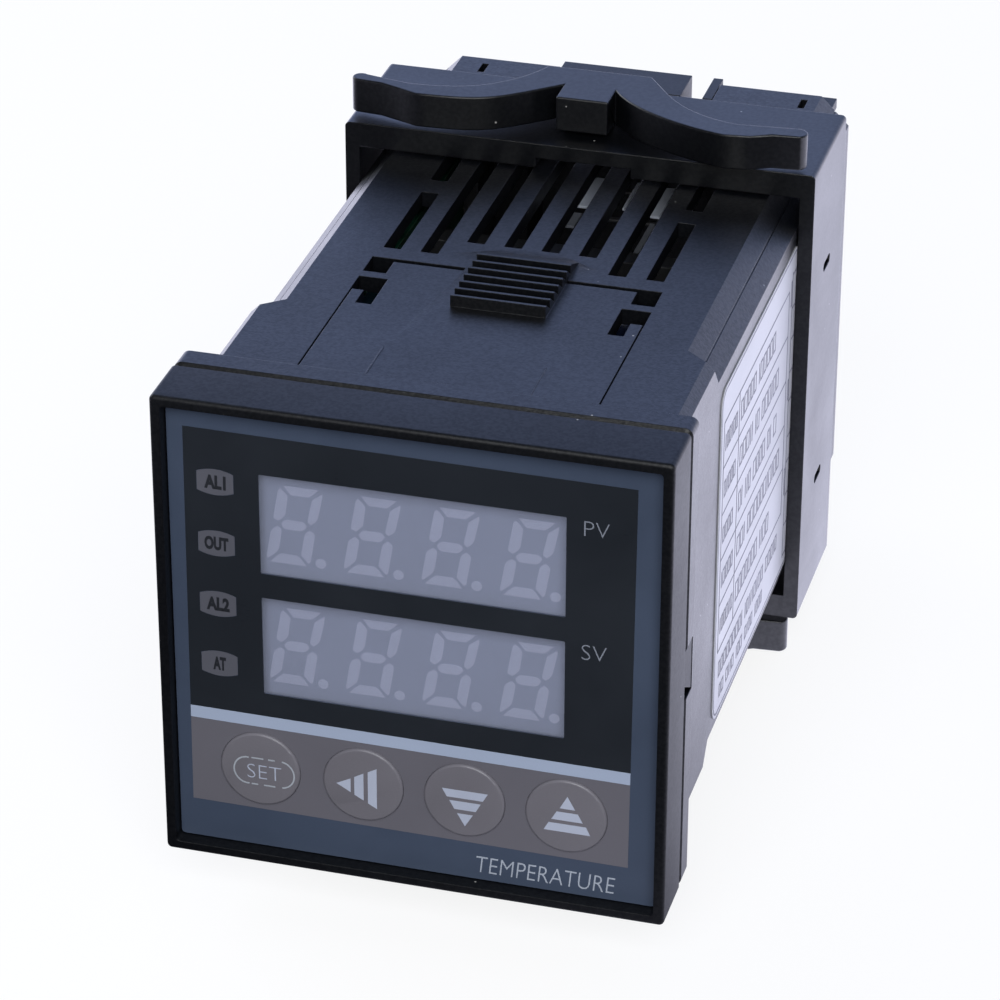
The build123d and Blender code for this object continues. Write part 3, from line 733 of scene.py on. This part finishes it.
# ------------------------------------------------------------------ digits
# Outlines (x, z) of one slanted digit's segments, drawn around DIGIT_CENTRE.
SEGMENTS = (
    # top
    [(-12.15, 15.92), (-8.85, 15.92), (-9.30, 15.45), (-9.78, 15.05), (-11.48, 15.05),
     (-11.78, 15.45)],
    # upper left
    [(-12.45, 15.62), (-12.05, 15.25), (-11.76, 14.85), (-12.02, 12.95), (-12.30, 12.58),
     (-12.70, 12.24), (-13.12, 12.45), (-13.15, 12.70), (-12.68, 15.35)],
    # upper right
    [(-8.52, 15.55), (-8.98, 15.20), (-9.48, 14.80), (-9.93, 12.70), (-9.90, 12.48),
     (-9.62, 12.24), (-9.25, 12.55), (-8.98, 12.92), (-8.50, 15.20)],
    # middle
    [(-12.42, 11.98), (-12.20, 12.28), (-11.90, 12.45), (-10.42, 12.45), (-10.15, 12.28),
     (-10.02, 12.00), (-10.22, 11.70), (-10.56, 11.46), (-12.08, 11.46), (-12.32, 11.70)],
    # lower left
    [(-12.78, 11.66), (-12.48, 11.45), (-12.40, 11.15), (-12.72, 9.28), (-13.05, 8.85),
     (-13.78, 8.22), (-13.88, 8.45), (-13.45, 11.05), (-13.22, 11.38)],
    # lower right
    [(-9.72, 11.66), (-9.40, 11.45), (-9.26, 11.15), (-9.72, 8.40), (-9.90, 8.20),
     (-10.25, 8.55), (-10.60, 9.00), (-10.58, 9.25), (-10.26, 11.10), (-10.05, 11.42)],
    # bottom
    [(-12.55, 8.87), (-10.98, 8.87), (-10.55, 8.50), (-10.14, 7.90), (-13.55, 7.90),
     (-13.10, 8.42)],
)
DECIMAL_POINT = (-8.75, 8.38)
DIGIT_CENTRE = (-10.62, 11.92)
DIGIT_PITCH = 7.29
DIGIT_SHIFT = (0.15, -0.43)    # of the row of digits from the display's centre
digit = list(SEGMENTS) + [circle(*DECIMAL_POINT, radius=0.5, steps=32)]
for name in ("pv", "sv"):
    lo, hi = mm_box(name + "_display")
    row_x = (lo.x + hi.x) / 2 + DIGIT_SHIFT[0] - DIGIT_CENTRE[0]
    row_z = (lo.z + hi.z) / 2 + DIGIT_SHIFT[1] - DIGIT_CENTRE[1]
    groups = [[shifted(part, row_x + (i - 1.5) * DIGIT_PITCH, row_z)]
              for i in range(4) for part in digit]
    sheet(name + "_segments", groups, display_segment, ("chassis", "display_body"), "front",
          level=-lo.y + 0.006, thick=0.025)

# ------------------------------------------------------------------ key print
key_level = -mm_box("key_set")[0].y + 0.01
CAPSULE = (5.85, 2.85)         # width and height of the broken outline around SET
CAPSULE_SHIFT = (0.40, -0.22)
CAPSULE_LINE = 0.15
# ends in x of the capsule's straight dashes
TOP_DASHES = ((-1.20, -0.05), (0.42, 1.05))
BOTTOM_DASHES = ((-1.25, -0.62), (-0.05, 1.05))


def capsule_end(side, start, stop):
    radius_z = CAPSULE[1] / 2
    radius_x = radius_z * 0.92
    middle = side * (CAPSULE[0] / 2 - radius_x)
    angles = [math.radians(start + (stop - start) * i / 14) for i in range(15)]
    return [(middle + radius_x * math.cos(a), radius_z * math.sin(a)) for a in angles]


capsule = [capsule_end(side=-1, start=84, stop=276), capsule_end(side=1, start=-84, stop=84)]
for z_side, dashes in ((1, TOP_DASHES), (-1, BOTTOM_DASHES)):
    z = z_side * CAPSULE[1] / 2
    capsule += [[(x0, z), (x1, z)] for x0, x1 in dashes]
set_key = key_at["set"]
set_x, set_z = set_key.x + CAPSULE_SHIFT[0], set_key.z + CAPSULE_SHIFT[1]
SET_HOME = ("key_set_body", "key_film")
sheet("key_set_print", [[shifted(ribbon(line, CAPSULE_LINE), set_x, set_z)] for line in capsule],
      ink_pale, SET_HOME, "front", level=key_level, thick=0.015)
lettering("key_set_letters", [("SET", set_key.x + 0.42, set_key.z - 0.24, 1.48, 3.30)],
          ink_white, SET_HOME, "front", level=key_level, thick=0.015, offset=-0.22)

# Arrows in three slices, (x, z) from the key's centre.
ARROWS = {
    "shift": (
        [(-2.52, -0.14), (-1.16, -0.92), (-1.16, 0.58)],
        [(-0.80, -1.12), (0.09, -1.62), (0.09, 1.32), (-0.80, 0.80)],
        [(0.50, -1.85), (1.36, -2.34), (1.36, 2.02), (0.50, 1.54)],
    ),
    "down": (
        [(-2.07, 1.12), (2.28, 1.12), (1.82, 0.27), (-1.62, 0.27)],
        [(-1.38, -0.08), (1.60, -0.08), (1.14, -0.98), (-0.90, -0.98)],
        [(-0.64, -1.40), (0.86, -1.40), (0.11, -2.72)],
    ),
    "up": (
        [(0.14, 2.20), (0.88, 0.86), (-0.58, 0.86)],
        [(-0.86, 0.47), (1.14, 0.47), (1.60, -0.42), (-1.36, -0.42)],
        [(-1.60, -0.80), (1.92, -0.80), (2.32, -1.66), (-2.07, -1.66)],
    ),
}
for key, slices in ARROWS.items():
    centre = key_at[key]
    sheet(f"key_{key}_print", [[shifted(part, centre.x, centre.z)] for part in slices],
          ink_white, (f"key_{key}_body", "key_film"), "front", level=key_level, thick=0.015)

# ------------------------------------------------------------------ rating label print
# Sheet x is +Y here, so x grows towards the terminals.
rng = random.Random(7)
label_level = mm_box("rating_label")[1].x + 0.006
TABLE_X = (18.45, 24.95, 46.95)                            # upright rules
TABLE_Z = (13.7, 8.85, 3.85, -1.08, -6.0, -11.15)          # level rules
TEXT_Z = (11.3, 6.35, 1.4, -3.5, -8.55)                    # text lines between them
HALF_RULE = 0.09

rules = [hollow(17.3, -18.21, 50.9, 17.15, line=0.17, radius=1.6, inner_radius=1.45)]
for z in TABLE_Z:
    rules.append([rect(TABLE_X[0], z - HALF_RULE, TABLE_X[-1], z + HALF_RULE)])
for x in TABLE_X:
    rules.append([rect(x - HALF_RULE, TABLE_Z[-1], x + HALF_RULE, TABLE_Z[0])])
sheet("label_rules", rules, label_ink, LABEL, "right", level=label_level, thick=0.012)


def greeked(x, stop, z, height, widths, gap, space):
    """A line of mock text: hollow boxes with the odd plain stroke and word space."""
    groups = []
    letters = 0
    while x < stop:
        width = rng.uniform(*widths)
        line = 0.22 if height > 1.7 else 0.18
        if rng.random() < 0.22:
            stroke = line * 1.2
            groups.append([rect(x + 0.1, z - height / 2, x + 0.1 + stroke, z + height / 2)])
            x += stroke + 0.2 + gap
        else:
            groups.append(hollow(x, z - height / 2, x + width, z + height / 2, line))
            x += width + gap
        letters += 1
        if rng.random() < space and letters > 1:
            x += 0.8
            letters = 0
    return groups


words = []
for z in TEXT_Z:
    words += greeked(19.0, stop=23.6, z=z, height=1.75, widths=(0.75, 1.0), gap=0.22, space=0.0)
    words += greeked(25.7, stop=rng.uniform(36.0, 44.5), z=z, height=2.15, widths=(0.95, 1.35),
                     gap=0.28, space=0.12)
words += greeked(19.0, stop=44.5, z=-13.4, height=1.75, widths=(0.85, 1.2), gap=0.26, space=0.15)
words += greeked(19.6, stop=38.0, z=-16.1, height=1.45, widths=(0.7, 1.0), gap=0.24, space=0.2)
sheet("label_words", words, label_ink, LABEL, "right", level=label_level, thick=0.010)

# wiring column beside the table: a rail with ringed taps, and three boxes
TAP_Z = (14.9, 11.15, 7.7, 4.0, 0.77, -3.3, -6.2, -10.0, -13.5, -17.0)
wiring = [[rect(48.35, -17.2, 48.53, 15.2)]]
for z in TAP_Z:
    wiring.append([rect(48.5, z - HALF_RULE, 49.75, z + HALF_RULE)])
    wiring.append([circle(50.15, z, radius, steps=20) for radius in (0.42, 0.26)])
for z0, z1 in ((11.6, 14.4), (1.2, 3.5), (-9.6, -6.6)):
    wiring.append(hollow(47.75, z0, 48.25, z1, line=0.13))
sheet("label_wiring", wiring, label_ink, LABEL, "right", level=label_level, thick=0.012)

# ------------------------------------------------------------------ rear terminals
spine_level = 77.05 - 0.005
ROW_PITCH = 6.5
ROWS = [ROW_PITCH * (2.5 - i) for i in range(6)]
ROW_GAPS = [ROW_PITCH * (2 - i) for i in range(5)]
SCREW_X = 14.2
TOOTH_X = 3.35                 # teeth either side of the screw
# Seen from behind, sheet x runs right, towards -X.
numbers = []
for i, z in enumerate(ROWS):
    numbers.append((str(i + 1), 3.1, z, 2.1, None))
    numbers.append((str(i + 7), -3.1, z, 2.1, None))
lettering("terminal_numbers", numbers, ink_pale, TERMINAL, "rear", level=spine_level,
          thick=0.14, offset=0.05)
marks = [[rect(-0.15, -16.5, 0.15, 16.5, radius=0.1, steps=2)]]
for z in ROW_GAPS:
    for x0, x1 in ((1.2, 5.0), (-4.8, -1.2)):
        marks.append([rect(x0, z - 0.12, x1, z + 0.12, radius=0.08, steps=2)])
sheet("terminal_rules", marks, abs_terminal, TERMINAL, "rear", level=spine_level, thick=0.10)

ribs, teeth, flanges = [], [], []
FLANGE = [(0.0, 0.0), (2.52, 0.0), (2.62, 0.08), (2.62, 0.34), (2.50, 0.44), (0.0, 0.44)]
for side in (1, -1):
    for z in ROWS:
        # upright lip inboard of each screw
        ribs.append((side * 9.75, 79.6, z - 2.55, side * 9.55, 80.14, z + 2.55))
        flanges.append(((side * SCREW_X, 77.92, z), (0, 1, 0), FLANGE))
        for k in (-1, 1):
            for j in (-1, 0, 1):
                x = side * SCREW_X + k * TOOTH_X
                tooth_z = z + 1.5 * j
                teeth.append((x - 0.28, 77.88, tooth_z - 0.4, x + 0.28, 78.02, tooth_z + 0.4))
    for z in ROW_GAPS:
        ribs.append((side * 10.2, 80.05, z - 0.22, side * 19.6, 80.16, z + 0.22))
blocks("barrier_ribs", ribs, abs_terminal, TERMINAL, bevel=0.04, segments=2)
blocks("plate_teeth", teeth, brass, ("housing", "terminal_brass"), bevel=0.05)
lathe("screw_flanges", flanges, steel, ("housing", "terminal_steel"), steps=36)

# ------------------------------------------------------------------ boards inside
# The main board stands on the left (-X) and the power board on the right (+X).
main_lo, main_hi = mm_box("main_board")
power_lo, power_hi = mm_box("power_board")
FINGER_Y = (60.2, 65.0)
FINGER_PITCH = 2.795
FINGER_HALF = 0.95
OPTO_Y = 50.5
OPTO_ROWS = (10.5, 3.5, -3.5, -10.5)
OPTO_PIN = 1.27                # pins above and below an optocoupler's middle
HEADER_ROWS = [-5.0 + 1.27 * i for i in range(15)]
COIL_FRONT_ROWS = (-6, -3, 0, 3, 6)        # transformer pins
COIL_REAR_ROWS = (-6, -2, 2, 6)
SOLDER_CONE = [(0.0, 0.42), (0.16, 0.40), (0.24, 0.26), (0.42, 0.10), (0.62, 0.0), (0.0, -0.02)]
CHIP_SIZES = ((2.0, 1.25, 0.55), (1.6, 0.8, 0.45), (3.2, 1.6, 0.6))  # length, width, height

# (y, z) of the soldered pins
main_pins = [(y, sign * z) for sign in (1, -1)
             for y, z in ((20.0, 5.6), (20.0, 11.6), (26.5, 8.6), (36.0, 5.6), (36.0, 11.6))]
main_pins += [(OPTO_Y + dy, z + dz) for z in OPTO_ROWS for dy in (-2.8, 2.8)
              for dz in (-OPTO_PIN, OPTO_PIN)]
power_pins = [(17.5, z) for z in COIL_FRONT_ROWS] + [(30.5, z) for z in COIL_REAR_ROWS]
power_pins += [(49.7, 3.1), (49.7, 8.1), (49.7, -8.3), (49.7, -4.9), (11.0, 8.0), (11.0, 11.0)]
power_pins += [(8.0, -10.5), (8.0, -6.5), (14.0, -10.5), (14.0, -6.5)]


def edge_fingers(y_sign):
    return [[rect(y_sign * FINGER_Y[0], i * FINGER_PITCH - FINGER_HALF,
                  y_sign * FINGER_Y[1], i * FINGER_PITCH + FINGER_HALF)] for i in range(-5, 6)]


def board_tracks(name, side, outer, level, draw):
    """Jogged tracks on the outer face; returns the (y, z) of their ends."""
    tracks, track_ends = [], []
    for i in range(22):
        y = draw.uniform(6, 30)
        z = -15.5 + 31.0 * i / 21
        run = draw.uniform(8, 24)
        jog = draw.choice((-1.4, -0.7, 0.7, 1.4))
        width = draw.choice((0.28, 0.36, 0.6))
        line = [(y, z), (y + run * 0.6, z), (y + run * 0.6 + abs(jog), z + jog),
                (min(57.5, y + run + abs(jog)), z + jog)]
        tracks.append([ribbon([(side * a, b) for a, b in line], width)])
        track_ends += [line[0], line[-1]]
    sheet(name + "_tracks", tracks, track_green, PCB, outer, level=level + 0.003, thick=0.03)
    return track_ends


def surface_parts(name, side, outer, x_outer, level, taken, draw):
    """Small surface-mount parts on the outer face, clear of the (y, z) places in taken."""
    chips, ends, outlines = [], [], []
    for _ in range(26):
        y = draw.uniform(8, 54)
        z = draw.uniform(-15.5, 15.5)
        if any(abs(y - a) < 2.2 and abs(z - b) < 1.8 for a, b in taken):
            continue
        taken.append((y, z))
        along = draw.random() < 0.5
        length, width, height = draw.choice(CHIP_SIZES)
        dy, dz = (length / 2, width / 2) if along else (width / 2, length / 2)
        body_y = dy * (0.7 if along else 1)
        body_z = dz * (1 if along else 0.7)
        chips.append((x_outer, y - body_y, z - body_z,
                      x_outer + side * height, y + body_y, z + body_z))
        base, top = x_outer - side * 0.01, x_outer + side * (height + 0.02)
        for k in (-1, 1):
            if along:
                ends.append((base, y + k * dy * 0.66, z - dz * 1.02,
                             top, y + k * dy * 1.05, z + dz * 1.02))
            else:
                ends.append((base, y - dy * 1.02, z + k * dz * 0.66,
                             top, y + dy * 1.02, z + k * dz * 1.05))
        outlines.append(hollow(side * y - dy - 0.35, z - dz - 0.35,
                               side * y + dy + 0.35, z + dz + 0.35, line=0.12))
    blocks(name + "_chips", chips, epoxy, CHIP, bevel=0.06)
    blocks(name + "_chip_ends", ends, tin, PCB, bevel=0.05)
    sheet(name + "_print", outlines, silk, PCB, outer, level=level + 0.003, thick=0.02)


def dress_board(name, side, x_outer, x_inner, pins, seed):
    """Fingers, tracks, solder and small parts; side is the sign of X the board stands on."""
    outer, inner = ("right", "left") if side > 0 else ("left", "right")
    level = abs(x_outer)
    draw = random.Random(seed)
    # sheet x is +Y on "right" and -Y on "left"
    sheet(name + "_fingers", edge_fingers(side), gold, PCB, outer,
          level=level + 0.004, thick=0.03)
    sheet(name + "_fingers_inner", edge_fingers(-side), gold, PCB, inner,
          level=-abs(x_inner) + 0.004, thick=0.03)
    track_ends = board_tracks(name, side, outer, level, draw)
    joints = pins + [(3.2, z) for z in HEADER_ROWS] + track_ends
    lathe(name + "_solder", [((x_outer, y, z), (side, 0, 0), SOLDER_CONE) for y, z in joints],
          tin, PCB, steps=14)
    surface_parts(name, side, outer, x_outer, level, joints, draw)


dress_board("main", -1, main_lo.x, main_hi.x, main_pins, seed=31)
dress_board("power", 1, power_hi.x, power_lo.x, power_pins, seed=53)

# gull-wing leads on the controller chip's four sides: a foot and an upright each
ic_lo, ic_hi = mm_box("control_ic")
ic_y, ic_z = (ic_lo.y + ic_hi.y) / 2, (ic_lo.z + ic_hi.z) / 2
board_x = main_hi.x
foot_x, upright_x = board_x + 0.16, board_x + 0.9
leads = []
for i in range(9):
    y0, y1 = (ic_y - 3.6 + 0.9 * i + d for d in (-0.16, 0.16))
    z0, z1 = (ic_z - 3.6 + 0.9 * i + d for d in (-0.16, 0.16))
    for k in (-1, 1):
        y = ic_y + k * 5.0
        leads.append((board_x, y, z0, foot_x, y + k * 1.1, z1))
        leads.append((board_x, y - k * 0.05, z0, upright_x, y + k * 0.25, z1))
        z = ic_z + k * 5.0
        leads.append((board_x, y0, z, foot_x, y1, z + k * 1.1))
        leads.append((board_x, y0, z - k * 0.05, upright_x, y1, z + k * 0.25))
blocks("control_ic_leads", leads, tin, CHIP, bevel=0.03)

opto_x = mm_box("optocouplers")[1].x
leads = []
for row_z in OPTO_ROWS:
    for z in (row_z - OPTO_PIN, row_z + OPTO_PIN):
        for k in (-1, 1):
            y = OPTO_Y + k * 3.2
            leads.append((board_x - 0.05, y - k * 0.05, z - 0.25,
                          board_x + 1.9, y + k * 0.28, z + 0.25))
blocks("optocoupler_leads", leads, tin, CHIP, bevel=0.04)


def dot(x, y, z, top_radius):
    profile = [(0.0, 0.055), (top_radius, 0.055), (top_radius + 0.06, 0.0), (0.0, 0.0)]
    return (x - 0.03, y, z), (1, 0, 0), profile


dots = [dot(ic_hi.x, ic_lo.y + 1.2, ic_hi.z - 1.2, top_radius=0.42)]
dots += [dot(opto_x, 48.2, z + 1.4, top_radius=0.36) for z in OPTO_ROWS]
lathe("pin_one_dots", dots, silk, CHIP, steps=20)

# capacitor tops, facing -X: bare aluminium with a cross vent, whose grooves are not modelled but
# drawn as a dark sheet of painted shade
CAPACITORS = (                 # y, z, radius, height from the board
    (49.7, 5.6, 5.0, 12.0), (49.7, -6.6, 4.0, 11.0), (11.0, 9.5, 3.15, 9.0),
)
tops = []
for y, z, radius, height in CAPACITORS:
    flat, rim = radius * 0.80, radius * 0.86
    profile = [(0.0, 0.06), (flat, 0.06), (rim, 0.02), (rim, -0.01), (0.0, -0.01)]
    tops.append(((power_lo.x - height + 0.03, y, z), (-1, 0, 0), profile))
lathe("capacitor_tops", tops, aluminium, SLEEVE, steps=40)
for y, z, radius, height in CAPACITORS:
    cross = []
    for angle in (45, 135):
        dy = math.cos(math.radians(angle)) * radius * 0.62
        dz = math.sin(math.radians(angle)) * radius * 0.62
        cross.append([ribbon([(-(y + dy), z + dz), (-(y - dy), z - dz)], width=0.22)])
    # near-black sheet along the vent lines: painted shade in the grooves
    sheet("capacitor_vent_shade_%d" % int(height), cross, ink_dark, SLEEVE, "left",
          level=-(power_lo.x - height - 0.035), thick=0.02)

# rectifier leads and transformer pins
board_x = power_lo.x
leads = []
for k in (-1, 1):
    for z in (-10.5, -6.5):
        leads.append((board_x - 1.4, 11.0 + k * 4.15, z - 0.45,
                      board_x + 0.05, 11.0 + k * 4.45, z + 0.45))
for y0, y1, rows in ((15.4, 16.05, COIL_FRONT_ROWS), (31.95, 32.6, COIL_REAR_ROWS)):
    for z in rows:
        leads.append((board_x - 3.2, y0, z - 0.3, board_x + 0.05, y1, z + 0.3))
blocks("power_leads", leads, tin, PCB, bevel=0.05)

# header pins: a stub to the rear, then a bar out to the board
header_y = mm_box("board_headers")[1].y
header_pins = []
for side in (1, -1):
    for z in HEADER_ROWS:
        header_pins.append((side * 13.2, header_y - 0.1, z - 0.22,
                            side * 13.65, header_y + 0.9, z + 0.22))
        header_pins.append((side * 13.2, header_y + 0.5, z - 0.22,
                            side * 14.82, header_y + 0.94, z + 0.22))
blocks("header_pins", header_pins, gold, CONNECTOR, bevel=0.04)

# overlap of the coil's tape
coil_lo, coil_hi = mm_box("transformer_coil")
lap = (coil_lo.x - 0.06, coil_lo.y + 2.5, coil_lo.z + 0.6,
       coil_lo.x + 0.02, coil_lo.y + 7.2, coil_hi.z - 0.6)
blocks("coil_tape_lap", [lap], coil_tape, ("chassis", "coil_tape"), bevel=0.02)

# relay covers: round nib and raised rim
relay_x = mm_box("output_relays")[1].x
RELAY_ROWS = (8.6, -8.6)
NIB = [(0.0, 0.22), (0.5, 0.22), (0.7, 0.0), (0.0, 0.0)]
lathe("relay_nibs", [((relay_x - 0.02, 20.6, z), (1, 0, 0), NIB) for z in RELAY_ROWS],
      relay_blue, RELAY, steps=20)
rims = [hollow(18.5, z - 4.6, 37.5, z + 4.6, line=0.4, radius=0.4, inner_radius=0.3)
        for z in RELAY_ROWS]
sheet("relay_rims", rims, relay_blue, RELAY, "right", level=relay_x - 0.01, thick=0.09)

# insulating card near the top, towards the rear: upper strips, lower strips in a darker copy of
# the card's colour that is painted shade, cross bars
CARD_PARTS = (
    ("insulating_card", card, [(-1.25, 53.3, 16.95, 0.35, 60.3, 17.25),
                               (3.55, 53.9, 16.95, 3.85, 60.3, 17.25),
                               (6.65, 52.9, 16.95, 7.65, 59.9, 17.25)]),
    ("insulating_card_painted_shade", card_painted_shade, [(-1.4, 49.2, 16.6, -0.2, 52.4, 16.9),
                                        (6.9, 43.6, 16.6, 7.5, 52.0, 16.9)]),
    ("insulating_card_bars", nylon, [(-1.6, 52.35, 16.3, 8.0, 53.0, 16.6),
                                     (-1.6, 59.0, 16.3, 8.0, 60.0, 16.6)]),
)
for name, material, boxes in CARD_PARTS:
    blocks(name, boxes, material, CONNECTOR, bevel=0.08, segments=2)

# ------------------------------------------------------------------ floor (metres)
# Strength of the floor's glow as other surfaces see it
FLOOR_FRONT, FLOOR_REAR, FLOOR_LEFT = 0.02, 2.05, 1.1
LOW_TINT = (0.99, 1.0, 1.24, 1.0)      # glow colour near the floor and up the backdrop
BACK_TINT = (0.315, 0.40, 0.685, 1.0)
TURN_X, TURN_SLOPE = 0.024, 0.35       # slants the dark-to-bright change towards +X


def stage_material(name, color, rough):
    """Pale paper: near-white to the camera with a faint shadow. To other rays it glows,
    dark in front of the object, bright behind it and at the far left."""
    tree = Tree(name)
    coords = tree.coords()
    soft = tree.noise(coords, scale=3.0)
    base = tree.mix(tree.ramp(soft, to=(0.0, 0.06), over=(0.0, 1.0)),
                    rgba(color), shade(color, gain=0.9))
    paper = tree.bsdf(base, rough)
    glow = tree.add("ShaderNodeEmission")
    glow.inputs["Color"].default_value = (1.0, 1.0, 1.0, 1.0)
    glow.inputs["Strength"].default_value = 1.06
    glow_share = 0.80
    seen = tree.mix_shaders(glow_share, paper, glow)
    split = tree.add("ShaderNodeSeparateXYZ")
    tree.link(coords, split.inputs[0])
    from_turn = tree.math("SUBTRACT", split.outputs["X"], TURN_X)
    across = tree.math("ADD", split.outputs["Y"], tree.math("MULTIPLY", from_turn, TURN_SLOPE))
    level = tree.ramp(across, to=(FLOOR_FRONT, FLOOR_REAR), over=(-0.03, 0.06))
    left = tree.ramp(split.outputs["X"], to=(FLOOR_LEFT, 0.0), over=(-0.25, -0.13))
    level = tree.math("MAXIMUM", level, left)
    tone = tree.mix(tree.ramp(split.outputs["Z"], to=(0.0, 1.0), over=(0.05, 0.25)),
                    LOW_TINT, BACK_TINT)
    reflected = tree.add("ShaderNodeEmission")
    tree.link(tone, reflected.inputs["Color"])
    tree.link(level, reflected.inputs["Strength"])
    path = tree.add("ShaderNodeLightPath")
    return tree.finish(tree.mix_shaders(path.outputs["Is Camera Ray"], reflected, seen))


FLOOR_HALF = 3.0
SWEEP_Y, SWEEP_RADIUS = 1.2, 0.8       # where the floor curves up into the backdrop
BACKDROP_TOP = 3.0
floor_z = cad_lo.z - 0.0003
mesh = bpy.data.meshes.new("floor")
work = bmesh.new()
profile = [(-FLOOR_HALF, 0.0), (SWEEP_Y, 0.0)]
for degrees in range(10, 91, 10):
    angle = math.radians(degrees)
    profile.append((SWEEP_Y + SWEEP_RADIUS * math.sin(angle),
                    SWEEP_RADIUS - SWEEP_RADIUS * math.cos(angle)))
profile.append((SWEEP_Y + SWEEP_RADIUS, BACKDROP_TOP))
rows = [[work.verts.new((x, y, floor_z + z)) for x in (-FLOOR_HALF, FLOOR_HALF)]
        for y, z in profile]
for near, far in zip(rows, rows[1:]):
    work.faces.new((near[0], near[1], far[1], far[0]))
work.to_mesh(mesh)
work.free()
mesh.shade_smooth()
floor = bpy.data.objects.new("floor", mesh)
bpy.context.scene.collection.objects.link(floor)
mesh.materials.append(stage_material("floor_paper", (0.86, 0.87, 0.90), rough=0.85))

# ------------------------------------------------------------------ world, lights, camera
world = bpy.data.worlds.new("studio")
bpy.context.scene.world = world
world.use_nodes = True
world_tree = world.node_tree
world_tree.nodes.clear()
world_out = world_tree.nodes.new("ShaderNodeOutputWorld")


def background(color, strength):
    node = world_tree.nodes.new("ShaderNodeBackground")
    node.inputs["Color"].default_value = color
    node.inputs["Strength"].default_value = strength
    return node


# dim as a light, pale to the camera
dim = background(color=(0.80, 0.86, 1.0, 1.0), strength=0.04)
pale = background(color=(0.985, 0.99, 1.0, 1.0), strength=1.0)
world_path = world_tree.nodes.new("ShaderNodeLightPath")
world_mix = world_tree.nodes.new("ShaderNodeMixShader")
world_tree.links.new(world_path.outputs["Is Camera Ray"], world_mix.inputs[0])
world_tree.links.new(dim.outputs[0], world_mix.inputs[1])
world_tree.links.new(pale.outputs[0], world_mix.inputs[2])
world_tree.links.new(world_mix.outputs[0], world_out.inputs["Surface"])

centre = (cad_lo + cad_hi) / 2


def softbox(name, where, size, power, color):
    """Rectangular light aimed at the object's centre."""
    light = bpy.data.lights.new(name, "AREA")
    light.shape = "RECTANGLE"
    light.size, light.size_y = size
    light.energy = power
    light.color = color
    obj = bpy.data.objects.new(name, light)
    bpy.context.scene.collection.objects.link(obj)
    obj.location = where
    obj.rotation_mode = "QUATERNION"
    obj.rotation_quaternion = (centre - Vector(where)).to_track_quat("-Z", "Y")


softbox("front_soft", where=(0.20, -0.80, 0.62), size=(0.9, 0.7), power=11.7,
        color=(0.96, 0.98, 1.0))
softbox("right_soft", where=(0.75, 0.15, 0.25), size=(0.7, 0.6), power=0.8,
        color=(0.95, 0.97, 1.0))
softbox("left_soft", where=(-0.75, 0.30, 0.30), size=(0.6, 0.5), power=3.5,
        color=(0.9, 0.94, 1.0))

# The camera's place and its axes: right, up and the direction it looks along.
CAMERA_AT = (0.09538855, -0.32464410, 0.20033510)
CAMERA_RIGHT = (0.96353274, 0.26757269, 0.00308293)
CAMERA_UP = (-0.13268996, 0.46774996, 0.87384401)
CAMERA_LOOK = (-0.23237475, 0.84238639, -0.48619661)
camera_data = bpy.data.cameras.new("camera")
camera = bpy.data.objects.new("camera", camera_data)
bpy.context.scene.collection.objects.link(camera)
camera.matrix_world = Matrix((
    *[(CAMERA_RIGHT[i], CAMERA_UP[i], -CAMERA_LOOK[i], CAMERA_AT[i]) for i in range(3)],
    (0, 0, 0, 1),
))
camera_data.sensor_width = 36.0
camera_data.lens = 154.1966
camera_data.clip_start = 0.01
camera_data.clip_end = 20.0
bpy.context.scene.camera = camera
bpy.context.scene.view_settings.view_transform = "Standard"
bpy.context.scene.view_settings.look = "None"
